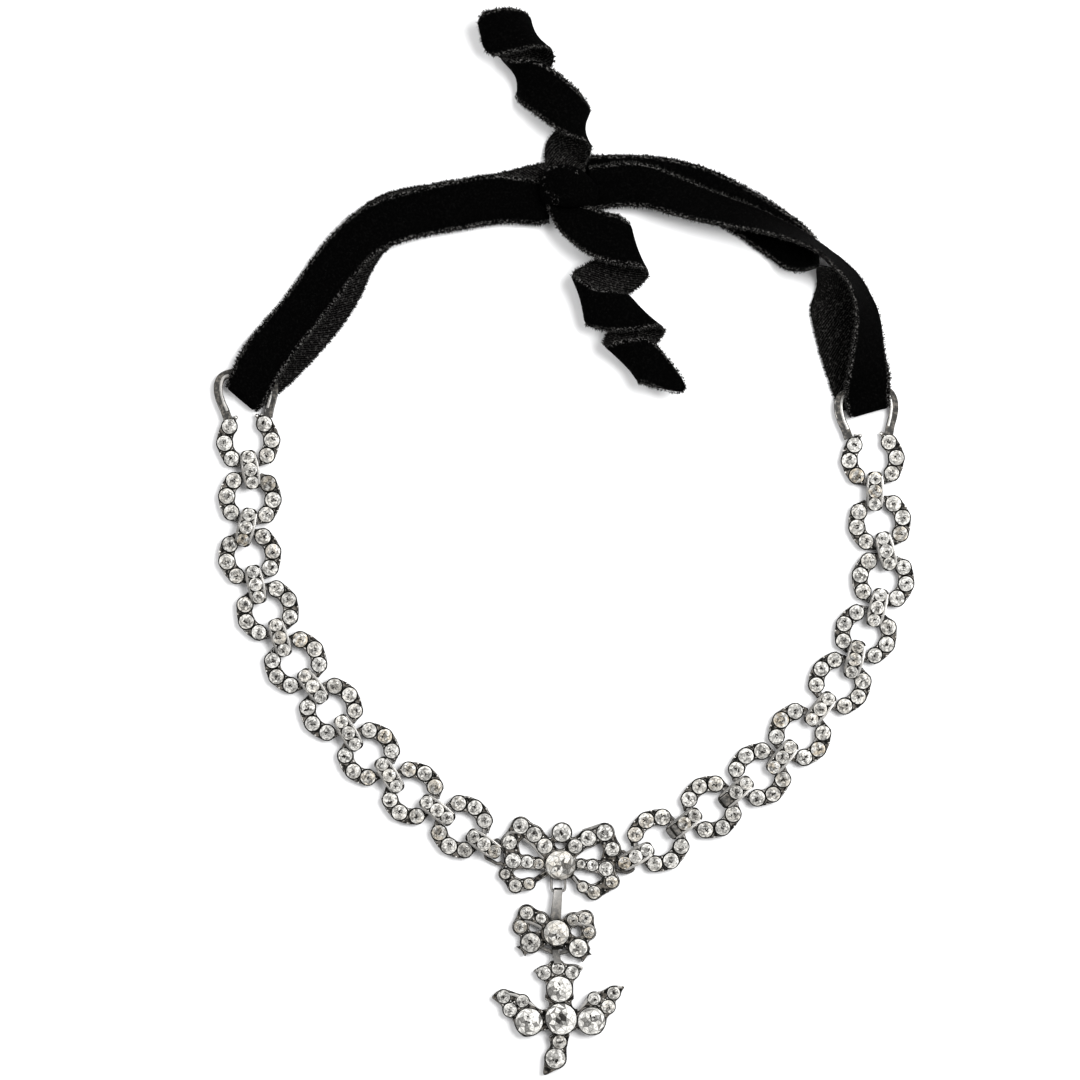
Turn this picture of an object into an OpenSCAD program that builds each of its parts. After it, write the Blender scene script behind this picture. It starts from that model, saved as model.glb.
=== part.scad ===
// Paste stone necklace on a velvet ribbon, lying flat on a table.
// Millimetres. X to the right, Y towards the ribbon, Z up from the table.

/* [Necklace] */
// Shift that brings the middle of the outline to the origin, along X
middle_x = -0.187; // [-3:0.001:3]
// Shift that brings the middle of the outline to the origin, along Y
middle_y = -0.574; // [-3:0.001:3]
// Air between a stone and the metal below and beside it
stone_gap = 0.1; // [0.05:0.01:0.2]

/* [Ring links] */
// Distance from a ring's middle to the middles of its stones
ring_orbit = 4.7; // [4.5:0.05:4.9]
// Angle between neighbouring stones of a crescent
ring_step = 42; // [40:1:44]
// Radius of a ring's stone
ring_stone_r = 1.4; // [1.2:0.05:1.45]
// Metal round a ring's seat
ring_wall = 0.18; // [0.15:0.01:0.3]
// Inner radius of a crescent's band
ring_inner = 3.2; // [3:0.05:3.4]
// Outer radius of a crescent's band
ring_outer = 6.05; // [5.8:0.05:6.2]
// Height of a crescent
ring_h = 1.9; // [1.6:0.1:1.95]
// Height of the floor below a ring's stone
ring_floor = 0.5; // [0.4:0.1:0.8]
// Inner radius of the narrow bar that a strap goes round
ring_bar_inner = 4; // [3.8:0.05:4.2]
// Outer radius of the narrow bar
ring_bar_outer = 5.2; // [5:0.05:5.3]
// Underside of the narrow bar
ring_bar_low = 0.8; // [0.6:0.05:0.9]
// Top of the narrow bar
ring_bar_high = 1.65; // [1.5:0.05:1.7]
// Radius of the bright grains between two stones
grain_r = 0.42; // [0.3:0.01:0.5]

/* [Bar links] */
// Radius of a plate's rounded end
plate_end_r = 1.5; // [1.4:0.02:1.6]
// Radius of a plate's raised middle
plate_mid_r = 1.58; // [1.5:0.02:1.7]
// Distance between neighbouring stones
plate_step = 2.65; // [2.5:0.05:2.8]
// Radius of an end stone
plate_end_stone_r = 1.17; // [1:0.01:1.2]
// Radius of the middle stone
plate_mid_stone_r = 1.33; // [1.2:0.01:1.35]
// Underside of the plate
plate_low = 2; // [1.95:0.05:2.2]
// Top of the plate at its ends
plate_end_top = 2.8; // [2.6:0.05:2.9]
// Top of the plate in the middle of its arch
plate_mid_top = 3; // [2.9:0.05:3.2]
// Length of the space that the strap closes in
strap_inside = 5.7; // [5.4:0.05:5.8]
// Thickness of the strap's end walls
strap_wall = 0.45; // [0.4:0.05:0.5]
// Width of the strap
strap_w = 1.6; // [1.4:0.1:1.8]
// Thickness of the strap under the bars
strap_floor = 0.4; // [0.35:0.05:0.5]

/* [Stirrups] */
// Width of the stirrup's flat wire
stirrup_w = 1.4; // [1.2:0.05:1.5]
// Underside of the stirrup
stirrup_low = 1.2; // [1.1:0.05:1.3]
// Top of the stirrup
stirrup_high = 1.88; // [1.8:0.01:1.9]
// Radius of the bead on each tip of the open ring
tip_bead_r = 0.5; // [0.4:0.05:0.6]

/* [Bow and pendants] */
// Metal round a seat
collet_wall = 0.3; // [0.25:0.01:0.35]
// Height of a small collet
collet_h = 2; // [1.8:0.1:2.2]
// Height of a collet for a main stone
main_h = 2.5; // [2.3:0.1:2.8]
// Height of the floor below a stone
collet_floor = 0.6; // [0.5:0.1:0.8]
// Width of a limb as a share of the collets that it joins
limb_share = 0.9; // [0.7:0.02:0.96]
// Most that a limb may widen from its smaller collet to its larger one
limb_ratio = 1.2; // [1:0.05:1.5]
// Half-width of a wire bar
wire_half = 0.35; // [0.3:0.01:0.4]

/* [Stones] */
// Radius of the table as a share of the stone's radius
table_share = 0.56; // [0.5:0.01:0.65]
// Radius of the flat base as a share of the stone's radius
base_share = 0.6; // [0.4:0.05:0.7]
// Height of the crown as a share of the stone's radius
crown_share = 0.46; // [0.3:0.01:0.5]

/* [Ribbon] */
// Thickness of the velvet ribbon
ribbon_t = 1; // [1:0.1:1.2]
// Steps between two rows of a ribbon's table
ribbon_steps = 3; // [2:1:5]
// Steps between two rows of a curled tail's table
tail_steps = 4; // [2:1:6]
// Points round the knot
knot_points = 14; // [10:2:20]
// Roundness of the knot's section
knot_power = 0.8; // [0.5:0.05:1]

/* [Hidden] */
over = 1;
round_fn = 64;
grain_fn = 32;
edge_cut = 0.25;
metal = [0.42, 0.41, 0.40];
paste = [0.86, 0.89, 0.92];
velvet = [0.07, 0.07, 0.08];
seat_r = ring_stone_r + stone_gap;
ring_collet_r = seat_r + ring_wall;
bar_reach = (ring_bar_inner + ring_bar_outer) / 2;
bar_spread = 34;
band_spread = ring_step + 6;
band_step = 0.15;

// Ring links, left side: [x, y, turn], a row for each ring from the ribbon to the bow.
left_rings = [
    [-63.5, 19.84, 4.3],
    [-63.16, 8.5, -4.6],
    [-63.16, -3.12, 12.5],
    [-59.58, -14.06, 27],
    [-54, -24.4, 36],
    [-46.9, -33.78, 38.3],
    [-39.36, -42.66, 47.5],
    [-30.62, -50.56, 57.4],
    [-20.72, -57.28, 56.2]
];
// Ring links, right side: [x, y, turn].
right_rings = [
    [61.5, 16.26, 4.8],
    [62.84, 3.56, 12.7],
    [63.54, -7.8, -11.3],
    [60.06, -18.68, -25.9],
    [54.86, -28.48, -36.2],
    [46.88, -38.82, -38],
    [38.84, -46.82, -55],
    [29.1, -53.3, -61],
    [18.54, -60, -57.7]
];
// The last bar link of each side, next to the bow: [x, y, turn].
left_last_bar = [-16.3, -60.64, 56.3];
right_last_bar = [14.04, -63.16, -60.5];
// Places of the right side without a stone: [link counted from 0, place along the plate].
empty_right = [[6, -1], [7, -1]];
// Stirrups: [shift along X, height of the crossbar above the ring's middle].
left_stirrup = [0.35, 13.9];
right_stirrup = [-0.45, 13.7];
// One side of a stirrup, from the foot to the crossbar: [half-width, height].
stirrup_side = [
    [4, 4.5],
    [4.5, 6.4],
    [5.15, 8.2],
    [5.55, 10.2],
    [5.35, 12],
    [4.4, 13.3]
];
// A pointed tip of a crescent: [x, y].
tip_shape = [
    [3.4, 3.4],
    [3.3, 4.75],
    [1.85, 5.15],
    [1.75, 4.8],
    [2.5, 3.75]
];
// The two tips that the open ring ends in: [x, y].
open_tip_shape = [
    [3.4, 3.4],
    [3.4, 4.75],
    [2.2, 5.3],
    [1.8, 4.9],
    [2.5, 3.75]
];
open_tip_bead = [2.1, 4.95, 1.1];

// Bow: [x, y, seat radius] from the middle of the bow, the main stone first.
bow_at = [-1, -64.84];
bow_seats = [
    [0, 0, 2.75],
    [0.28, 6.42, 1.7],
    [-3.12, 3.74, 1.4],
    [-5.26, 6.06, 1.4],
    [-7.94, 7.76, 1.4],
    [-10.18, 4.46, 1.3],
    [-9.46, 0.8, 1.4],
    [-6.68, 0.52, 1.1],
    [-4.36, 0.18, 0.9],
    [-11.06, -1.86, 0.85],
    [-9.02, -4.2, 1.15],
    [-6.32, -3.84, 0.95],
    [2.96, 3.66, 1.3],
    [5.54, 5.26, 1.45],
    [8.84, 6.42, 1.5],
    [10.36, 3.12, 1.3],
    [4.12, 0.08, 0.75],
    [6.44, -0.18, 1],
    [9.12, -0.82, 1.3],
    [10.28, -3.4, 1.1],
    [6.7, -5.54, 1.15],
    [4.46, -4.44, 0.9]
];
// Limbs of the bow: [row of one seat, row of the next seat, share of the full width].
bow_limbs = [
    [0, 2, 0.9], [2, 3, 1], [3, 4, 1], [4, 5, 1], [5, 6, 1], [6, 7, 0.9], [7, 8, 0.9], [8, 0, 0.9],
    [6, 9, 1], [9, 10, 1], [10, 11, 0.9], [11, 0, 0.5], [1, 2, 0.45], [1, 12, 0.45],
    [0, 12, 0.9], [12, 13, 1], [13, 14, 1], [14, 15, 1], [15, 18, 1], [18, 17, 0.9], [17, 16, 0.9], [16, 0, 0.9],
    [18, 19, 1], [19, 20, 1], [20, 21, 0.9], [21, 0, 0.5]
];
// Side eyes: [row of the upper seat, row of the lower seat].
left_eye_seats = [5, 9];
right_eye_seats = [15, 19];
eye_half = 2.05;
eye_reach = 1.5;
staple_x = [-2.8, -0.1];
staple_y = [-67.2, -70.15];
staple_low = 0.9;
staple_high = 1.5;

// Drop: [x, y, seat radius] from the middle of the drop, the main stone first.
drop_at = [-1.8, -78.4];
drop_seats = [
    [0, 0, 2.45],
    [-3.08, 2.82, 0.9],
    [-5.96, 3.94, 1.2],
    [-7.2, 1.14, 1.2],
    [-5.12, -2.02, 1.8],
    [3.22, 2.54, 1],
    [5.76, 2.82, 1.2],
    [6.5, -0.06, 1],
    [4.36, -3.08, 1.7]
];
drop_limbs = [
    [0, 1, 0.9], [1, 2, 0.9], [2, 3, 0.9], [3, 4, 0.8], [4, 0, 0.8],
    [0, 5, 0.9], [5, 6, 0.9], [6, 7, 0.9], [7, 8, 0.8], [8, 0, 0.8]
];
// Claws of the drop: [x, y, row of the seat they start from].
drop_claws = [
    [-6.24, -4.9, 4],
    [-8.1, -3.2, 4],
    [5.3, -5.9, 8],
    [7.1, -4.2, 8]
];
v_bar_y = -4.4;
v_bar_low = 0.8;
v_bar_high = 1.55;
drop_bail_y = [-69.2, -76.4];
drop_bail_half = [0.78, 0.97];

// Dove: [x, y, seat radius] from the middle of the breast, the main stones first.
dove_at = [-0.88, -95.62];
dove_seats = [
    [0, 0, 3],
    [-0.3, 5.92, 2.4],
    [-6.42, -0.6, 2.6],
    [6.1, -0.4, 2.6],
    [-3.4, 9.12, 1.2],
    [-0.6, 10.1, 1.15],
    [2.2, 9.22, 1.2],
    [-10.2, 1.74, 1.25],
    [-7.7, 3.5, 1.1],
    [-11.52, 4.4, 1.2],
    [6.64, 3.98, 1.15],
    [9.4, 2.36, 1.25],
    [10.52, 5.1, 1.15],
    [-0.3, -4.68, 1.25],
    [-1.12, -7.96, 1.75]
];
dove_limbs = [
    [0, 1, 0.8], [0, 2, 0.8], [0, 3, 0.8], [1, 4, 1], [1, 5, 1], [1, 6, 1], [2, 7, 1], [2, 8, 1], [7, 8, 1], [7, 9, 1],
    [3, 10, 1], [3, 11, 1], [10, 11, 1], [11, 12, 1], [0, 13, 1], [13, 14, 1], [4, 5, 1], [5, 6, 1]
];
// Tips of the dove: [x, y, row of the seat they start from].
dove_tips = [
    [-3.3, -11.2, 14],
    [-13.5, 5.5, 9],
    [12.4, 6.6, 12],
    [-5.3, 10.1, 4],
    [4.2, 10.5, 6]
];
dove_mains = 4;
dove_bail_y = [-81.45, -85.2];
dove_bail_half = 0.78;
bail_top = [1.8, 2.25];
bail_floor = [0.15, 0.55];
bail_wall = 0.35;

// Rows of a ribbon: [x, y, z, direction across, roll, width].
// The left ribbon, under layer: from the knot to the crossbar of the stirrup.
left_under = [
    [-1.6, 71.9, 0.57, 103, 0, 8.4],
    [-5.4, 71, 0.57, 104, 0, 8.8],
    [-15.1, 68.3, 0.52, 99, 0, 9.6],
    [-25.1, 66.9, 0.52, 100, 0, 9.6],
    [-34.7, 64.9, 0.52, 112, 0, 9.6],
    [-39.9, 60.9, 0.52, 136, 0, 9.6],
    [-43.1, 56.1, 0.52, 150, 0, 9.6],
    [-45.5, 50.7, 0.52, 153, 0, 9.6],
    [-48.7, 45.7, 0.52, 144, 0, 9.6],
    [-53.1, 40.5, 0.52, 138.5, 0, 9.6],
    [-58.1, 35.1, 0.54, 137, 0, 9.4],
    [-61.8, 31.7, 0.56, 139, 0, 9]
];
// The left ribbon, upper layer: from the crossbar back to the knot.
left_over = [
    [-62.9, 31.6, 2.78, 141, -2, 9.3],
    [-60.9, 35.4, 2.72, 139, -8, 9.6],
    [-57.2, 40.5, 2.52, 140, -19, 9.6],
    [-53.1, 45.4, 2.57, 143, -22, 9.6],
    [-49.3, 50.4, 2.57, 146, -18, 9.6],
    [-45.7, 55.3, 2.62, 143, -15, 9.6],
    [-42.2, 59.4, 2.67, 135, -13, 9.6],
    [-38.5, 62.3, 2.42, 121, -9, 9.6],
    [-33.3, 64.5, 2.02, 108, -4, 9.7],
    [-27.7, 65.9, 1.82, 102, 0, 9.8],
    [-21.5, 67.1, 1.82, 100, 0, 10],
    [-15.1, 68.2, 1.92, 95, 0, 9.9],
    [-10, 68.1, 1.92, 88, 0, 9.2],
    [-4.4, 67.8, 1.87, 91, 0, 7.6]
];
// Bends round the crossbars: [x, y, low, high, direction across, roll, direction of the bend].
left_bend = [-64.1, 29.35, 0.56, 2.72, 140, 0, 230];
right_bend = [60.6, 27, 0.52, 2.62, 15.5, -180, -74.5];
// Widths of the ribbon through a bend.
left_bend_widths = [8.3, 7.85, 7.4, 8, 8.6];
right_bend_widths = [8.6, 8.3, 8, 8.4, 8.8];
// The right ribbon, under layer, with the turn where it stands on its edge.
right_under = [
    [1.5, 72.5, 0.57, 96, 0, 8.4],
    [6.5, 72.7, 0.57, 95, 0, 9],
    [16.9, 72.3, 0.52, 86, 0, 9.6],
    [24.9, 70.7, 0.52, 72, 0, 9.6],
    [30.5, 68.5, 0.52, 62, 0, 9.6],
    [36.5, 65.3, 0.6, 56, 0, 9.6],
    [42.1, 61.5, 0.8, 54, 0, 9.6],
    [46.1, 58.3, 1.72, 51, -12, 9.6],
    [48.9, 55.7, 4.2, 47, -52, 9.6],
    [50.7, 53.1, 5.12, 34, -92, 9.6],
    [52.1, 50.1, 3.91, 20, -134, 9.6],
    [53.3, 46.9, 1.77, 12, -167, 9.6],
    [54.5, 43.1, 0.68, 8, -179, 9.6],
    [55.9, 37.7, 0.56, 14, -180, 9.6],
    [57.5, 32.5, 0.57, 20, -180, 9.4],
    [58.8, 28.5, 0.55, 18, -180, 9]
];
// The right ribbon, upper layer: it leans on its outer edge round the bend.
right_over = [
    [60.3, 30.3, 2.87, 15, -183, 9.5],
    [60.3, 34.4, 4.75, 12, -210, 9.6],
    [60.2, 38, 5.1, 9, -222, 9.6],
    [60.3, 41.5, 5.22, 12, -230, 9.6],
    [60.2, 45.24, 5.56, 18, -241, 9.6],
    [59.25, 48.5, 5.84, 26, -252, 9.6],
    [57.8, 51.8, 5.93, 38, -260, 9.6],
    [54.7, 55.1, 5.93, 45, -260, 9.6],
    [50.6, 58.1, 6.55, 52, -256, 9.6],
    [46.1, 60.65, 6.45, 58, -250, 9.6],
    [40.66, 62.85, 5.69, 62, -242, 9.6],
    [35.3, 64.6, 5.21, 66, -232, 9.6],
    [28.2, 66.6, 4.7, 70, -222, 9.6],
    [21.7, 68.9, 4.09, 76, -212, 9.6],
    [17, 70.6, 3.3, 88, -200, 9.4],
    [11.5, 71.15, 2.39, 92, -186, 9],
    [5, 70.8, 1.95, 94, -182, 7.4]
];
// The upper tail, curled, from the knot to its tip.
upper_tail = [
    [0, 73.7, 1.87, 0, 0, 7.2],
    [0, 76.1, 2.02, -1, 0, 7.8],
    [0, 78.3, 2.32, -3, 0, 8.6],
    [-0.1, 81.7, 2.32, -10.7, 0, 9.4],
    [0.53, 84.65, 2.94, -18, 27.2, 9.4],
    [0.5, 87.24, 4.42, -61.2, 54.1, 9.4],
    [-1.39, 88.81, 5.9, -102.9, 23.3, 9.4],
    [-4.5, 89.7, 6.52, -99, 0, 9.4],
    [-7.39, 90.09, 5.9, -95.2, -19, 9.4],
    [-9.1, 91.1, 4.42, -61.9, -45.9, 9.4],
    [-8.99, 93.09, 2.94, -28.7, -19, 9.4],
    [-7.7, 95.7, 2.32, -28.5, 0, 9.4],
    [-6.52, 98.22, 2.94, -27.8, 18.7, 9.4],
    [-6.55, 100.03, 4.42, -59.3, 43.6, 9.4],
    [-8.21, 100.87, 5.9, -91.3, 19.7, 9.4],
    [-10.9, 101.1, 6.52, -93, 0, 9.4],
    [-13.7, 101.5, 6.42, -58, 10, 9.2]
];
// The lower tail, curled, from the knot to its tip.
lower_tail = [
    [-1.9, 67.3, 2.54, -18, 0, 2.8],
    [1.9, 63.7, 5.72, 49, 0, 6.4],
    [6.9, 60.9, 6.62, 66, 0, 9.4],
    [10.7, 59.7, 6.42, 85, -8, 9.6],
    [13.7, 58.5, 5.12, 101, -28, 9.6],
    [13.9, 56.3, 3.32, 126, -20, 9.5],
    [10.3, 53.3, 2.17, 123, -2, 9.4],
    [5.9, 50.9, 2.42, 116, 5, 9.4],
    [3.3, 49.3, 3.82, 118, 30, 9.4],
    [3.9, 47.5, 5.42, 95, 16, 9.4],
    [7.3, 46.1, 6.42, 112, 2, 9.4],
    [11.7, 45.9, 6.32, 122, -4, 9.4],
    [15.1, 45.7, 5.02, 130, -26, 9.4],
    [15.9, 44.1, 3.32, 150, -17, 9.4],
    [13.9, 41.3, 2.32, 147, -2, 9.4],
    [11.7, 38.1, 2.62, 148, 8, 9.4],
    [11.1, 36.3, 3.92, 138, 30, 9.4],
    [13.1, 35.9, 5.42, 108, 18, 9.4],
    [16.1, 35.7, 6.12, 80, 0, 8.8],
    [19.5, 33.1, 5.82, 62, 0, 6],
    [23.5, 30.1, 5.22, 50, 0, 2.2]
];
// The knot: [x, y, half-width along Y, low, high].
knot_rows = [
    [-5.1, 70.7, 2, 2.75, 4.2],
    [-3.9, 70.7, 3.4, 2.7, 6],
    [-1.9, 70.9, 4, 2.7, 7.2],
    [0.5, 70.7, 4.2, 2.7, 7.6],
    [2.9, 70.3, 3.8, 2.7, 7],
    [4.9, 69.5, 2.9, 2.7, 5.6],
    [6.5, 68.7, 1.8, 2.75, 4.2]
];

// Moves the drawing's coordinates so that the outline's middle is the origin.
module placed() {
    translate([-middle_x, -middle_y, 0])
        children();
}

// Sets children at a row of [x, y, turn].
module at_pose(pose) {
    translate([pose[0], pose[1], 0])
        rotate(pose[2])
            children();
}

function turned(pose, x, y) = [
    pose[0] + x * cos(pose[2]) - y * sin(pose[2]),
    pose[1] + x * sin(pose[2]) + y * cos(pose[2])
];

// Pose of the bar link between two rings: it runs from bar to bar.
function bar_pose(upper, lower) =
    let (a = turned(upper, 0, -bar_reach))
    let (b = turned(lower, 0, bar_reach))
    [(a[0] + b[0]) / 2, (a[1] + b[1]) / 2, atan2(b[0] - a[0], a[1] - b[1])];

function bar_poses(rings, last) = [
    for (i = [0 : len(rings) - 1])
        i < len(rings) - 1 ? bar_pose(rings[i], rings[i + 1]) : last
];

left_bars = bar_poses(left_rings, left_last_bar);
right_bars = bar_poses(right_rings, right_last_bar);

// An upright prism of an outline between two heights.
module prism(outline, low, high) {
    translate([0, 0, low])
        linear_extrude(high - low)
            polygon(outline);
}

// A part of a flat ring about the X axis.
module sector(inner, outer, spread, low, high) {
    intersection() {
        difference() {
            translate([0, 0, low])
                cylinder(r = outer, h = high - low, $fn = round_fn);
            translate([0, 0, low - over])
                cylinder(r = inner, h = high - low + 2 * over, $fn = round_fn);
        }
        prism(
            [
                [0, 0],
                [outer + over, -(outer + over) * tan(spread)],
                [outer + over, (outer + over) * tan(spread)]
            ],
            low - over,
            high + over
        );
    }
}

module ring_stone_places() {
    for (side = [0, 180])
        for (k = [-1 : 1])
            rotate(side + k * ring_step)
                translate([ring_orbit, 0, 0])
                    children();
}

module ring_crescents() {
    for (side = [0, 180])
        rotate(side)
            sector(ring_inner, ring_outer, band_spread, band_step, ring_h - band_step);
    ring_stone_places()
        cylinder(r = ring_collet_r, h = ring_h, $fn = round_fn);
    for (side = [0, 180])
        for (k = [-1, 1])
            rotate(side + k * ring_step / 2)
                translate([ring_outer - grain_r / 2, 0, ring_h - grain_r / 2])
                    sphere(r = grain_r, $fn = grain_fn);
}

module ring_bar(side) {
    rotate(side)
        sector(ring_bar_inner, ring_bar_outer, bar_spread, ring_bar_low, ring_bar_high);
}

module ring_seats() {
    ring_stone_places()
        translate([0, 0, ring_floor])
            cylinder(r = seat_r, h = ring_h + over, $fn = round_fn);
}

// Pointed tips beside a bar: side is 1 above and -1 below.
module ring_tips(outline, side) {
    for (m = [-1, 1])
        prism([for (p = outline) [m * p[0], side * p[1]]], band_step, ring_h - 2 * band_step);
}

module ring_link() {
    difference() {
        union() {
            ring_crescents();
            ring_bar(90);
            ring_bar(-90);
            ring_tips(tip_shape, 1);
            ring_tips(tip_shape, -1);
        }
        ring_seats();
    }
}

function stirrup_line(height) = concat(
    [for (p = stirrup_side) [-p[0], p[1]]],
    [[-stirrup_side[0][0] / 2, height], [stirrup_side[0][0] / 2, height]],
    [for (i = [len(stirrup_side) - 1 : -1 : 0]) stirrup_side[i]]
);

function blend(a, b, c, d, t) = 0.5 * (
    2 * b
    + (c - a) * t
    + (2 * a - 5 * b + 4 * c - d) * t * t
    + (3 * b - a - 3 * c + d) * t * t * t
);

// A smooth line through the rows of a table.
function smooth(rows, steps) = [
    for (i = [0 : len(rows) - 2])
        for (s = [0 : steps - (i < len(rows) - 2 ? 1 : 0)])
            blend(
                rows[max(i - 1, 0)],
                rows[i],
                rows[i + 1],
                rows[min(i + 2, len(rows) - 1)],
                s / steps
            )
];

function side_of(line, i) =
    let (d = line[min(i + 1, len(line) - 1)] - line[max(i - 1, 0)])
    [-d[1], d[0]] / norm(d);

// The outline of a flat wire that follows a line.
function wire_outline(line, half) = concat(
    [for (i = [0 : len(line) - 1]) line[i] + half * side_of(line, i)],
    [for (i = [len(line) - 1 : -1 : 0]) line[i] - half * side_of(line, i)]
);

module end_ring(stirrup) {
    difference() {
        union() {
            ring_crescents();
            ring_bar(-90);
            ring_tips(tip_shape, -1);
            ring_tips(open_tip_shape, 1);
            for (m = [-1, 1])
                translate([m * open_tip_bead[0], open_tip_bead[1], open_tip_bead[2]])
                    sphere(r = tip_bead_r, $fn = grain_fn);
            translate([stirrup[0], 0, 0])
                prism(
                    wire_outline(smooth(stirrup_line(stirrup[1]), ribbon_steps), stirrup_w / 2),
                    stirrup_low,
                    stirrup_high
                );
        }
        ring_seats();
    }
}

// A seat's place on a bar link: -1, 0 or 1 along the plate.
module bar_place(k) {
    translate([0, k * plate_step, 0])
        children();
}

module bar_link() {
    plate_half = plate_step - plate_end_r / 10;
    difference() {
        union() {
            for (k = [-1, 1])
                translate([0, k * (plate_step - plate_end_r / 10), plate_low])
                    cylinder(r = plate_end_r, h = plate_end_top - plate_low, $fn = round_fn);
            translate([0, 0, plate_low])
                cylinder(r = plate_mid_r, h = plate_mid_top - plate_low, $fn = round_fn);
            translate([-plate_end_r + edge_cut / 5, -plate_half, plate_low + edge_cut / 5])
                cube([2 * (plate_end_r - edge_cut / 5), 2 * plate_half, 3 * edge_cut]);
            for (k = [-1, 1])
                for (m = [-1, 1])
                    translate([m * plate_end_r, k * plate_step / 2, plate_end_top])
                        sphere(r = grain_r / 2, $fn = grain_fn);
        }
        for (k = [-1, 1])
            bar_place(k)
                translate([0, 0, plate_low + edge_cut * 1.4])
                    cylinder(r = plate_end_stone_r + stone_gap, h = over + plate_end_top, $fn = round_fn);
        translate([0, 0, plate_low + edge_cut * 2])
            cylinder(r = plate_mid_stone_r + stone_gap, h = over + plate_mid_top, $fn = round_fn);
    }
    for (k = [-1, 1])
        translate([-strap_w / 2, k * (strap_inside + strap_wall) / 2 - strap_wall / 2, strap_floor / 2])
            cube([strap_w, strap_wall, plate_low]);
    translate([-strap_w / 2, -strap_inside / 2 - strap_wall / 2, 0])
        cube([strap_w, strap_inside + strap_wall, strap_floor]);
}

// A flat limb between two seats; share narrows it.
module limb(a, b, share, low, high) {
    pa = [a[0], a[1]];
    pb = [b[0], b[1]];
    d = (pb - pa) / norm(pb - pa);
    n = [-d[1], d[0]];
    ra = limb_share * share * (min(a[2], limb_ratio * b[2]) + collet_wall);
    rb = limb_share * share * (min(b[2], limb_ratio * a[2]) + collet_wall);
    prism([pa + ra * n, pa - ra * n, pb - rb * n, pb + rb * n], low, high);
}

module wire(points, low, high) {
    for (i = [0 : len(points) - 2]) {
        d = (points[i + 1] - points[i]) / norm(points[i + 1] - points[i]);
        n = [-d[1], d[0]] * wire_half;
        e = d * wire_half * (1 - i / 20);
        prism(
            [points[i] + n - e, points[i] - n - e, points[i + 1] - n + e, points[i + 1] + n + e],
            low + i / 100,
            high + i / 100
        );
    }
}

// A pointed claw that starts at a seat.
module claw(tip, seat, low, high) {
    pa = [seat[0], seat[1]];
    pb = [tip[0], tip[1]];
    d = (pb - pa) / norm(pb - pa);
    n = [-d[1], d[0]];
    prism(
        [pa + seat[2] * n, pa - seat[2] * n, pb - wire_half * n, pb + wire_half * n],
        low,
        high
    );
}

module collets(seats, mains) {
    for (i = [0 : len(seats) - 1])
        translate([seats[i][0], seats[i][1], 0])
            cylinder(r = seats[i][2] + collet_wall, h = i < mains ? main_h : collet_h, $fn = round_fn);
}

module seat_holes(seats) {
    for (s = seats)
        translate([s[0], s[1], collet_floor])
            cylinder(r = s[2], h = main_h + over, $fn = round_fn);
}

module limbs(seats, rows, low, high) {
    for (i = [0 : len(rows) - 1])
        limb(seats[rows[i][0]], seats[rows[i][1]], rows[i][2], low, high);
}

function at(place, seat) = [place[0] + seat[0], place[1] + seat[1]];

module bow_eye(bar, seats, outward) {
    wire(
        [
            at(bow_at, bow_seats[seats[0]]),
            turned(bar, -outward * eye_half, -eye_reach),
            turned(bar, outward * eye_half, -eye_reach),
            at(bow_at, bow_seats[seats[1]])
        ],
        ring_bar_low,
        ring_bar_high
    );
}

module bow_metal() {
    difference() {
        union() {
            translate([bow_at[0], bow_at[1], 0]) {
                collets(bow_seats, 1);
                limbs(bow_seats, bow_limbs, band_step, collet_h - band_step);
            }
            bow_eye(left_last_bar, left_eye_seats, -1);
            bow_eye(right_last_bar, right_eye_seats, 1);
            wire(
                [
                    [staple_x[0], staple_y[0]],
                    [staple_x[0], staple_y[1]],
                    [staple_x[1], staple_y[1]],
                    [staple_x[1], staple_y[0]]
                ],
                staple_low,
                staple_high
            );
        }
        translate([bow_at[0], bow_at[1], 0])
            seat_holes(bow_seats);
    }
}

// A bail: two flat strips joined by a wall at their upper end.
module bail(x_top, x_end, y, half_top, half_end) {
    outline = [
        [x_top - half_top, y[0]],
        [x_end - half_end, y[1]],
        [x_end + half_end, y[1]],
        [x_top + half_top, y[0]]
    ];
    prism(outline, bail_top[0], bail_top[1]);
    prism(outline, bail_floor[0], bail_floor[1]);
    translate([x_top - half_top + edge_cut / 5, y[0] - bail_wall, bail_floor[0] + edge_cut / 5])
        cube([2 * half_top - edge_cut * 2 / 5, bail_wall - edge_cut / 5, bail_top[1] - bail_floor[0] - edge_cut * 2 / 5]);
}

module drop_metal() {
    difference() {
        union() {
            translate([drop_at[0], drop_at[1], 0]) {
                collets(drop_seats, 1);
                limbs(drop_seats, drop_limbs, band_step, collet_h - band_step);
                for (c = drop_claws)
                    claw(c, drop_seats[c[2]], 2 * band_step, collet_h - 2 * band_step);
                wire(
                    [
                        [drop_seats[4][0], drop_seats[4][1]],
                        [0, v_bar_y],
                        [drop_seats[8][0], drop_seats[8][1]]
                    ],
                    v_bar_low,
                    v_bar_high
                );
            }
            bail(-1.45, drop_at[0], drop_bail_y, drop_bail_half[0], drop_bail_half[1]);
        }
        translate([drop_at[0], drop_at[1], 0])
            seat_holes(drop_seats);
    }
}

module dove_metal() {
    difference() {
        union() {
            translate([dove_at[0], dove_at[1], 0]) {
                collets(dove_seats, dove_mains);
                limbs(dove_seats, dove_limbs, band_step, collet_h - band_step);
                for (t = dove_tips)
                    claw(t, dove_seats[t[2]], 2 * band_step, collet_h - 2 * band_step);
            }
            bail(-2, at(dove_at, dove_seats[5])[0], dove_bail_y, dove_bail_half, dove_bail_half);
        }
        translate([dove_at[0], dove_at[1], 0])
            seat_holes(dove_seats);
    }
}

function eight(r, z, shift) = [for (k = [0 : 7]) [r * cos(45 * k + shift), r * sin(45 * k + shift), z]];

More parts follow.
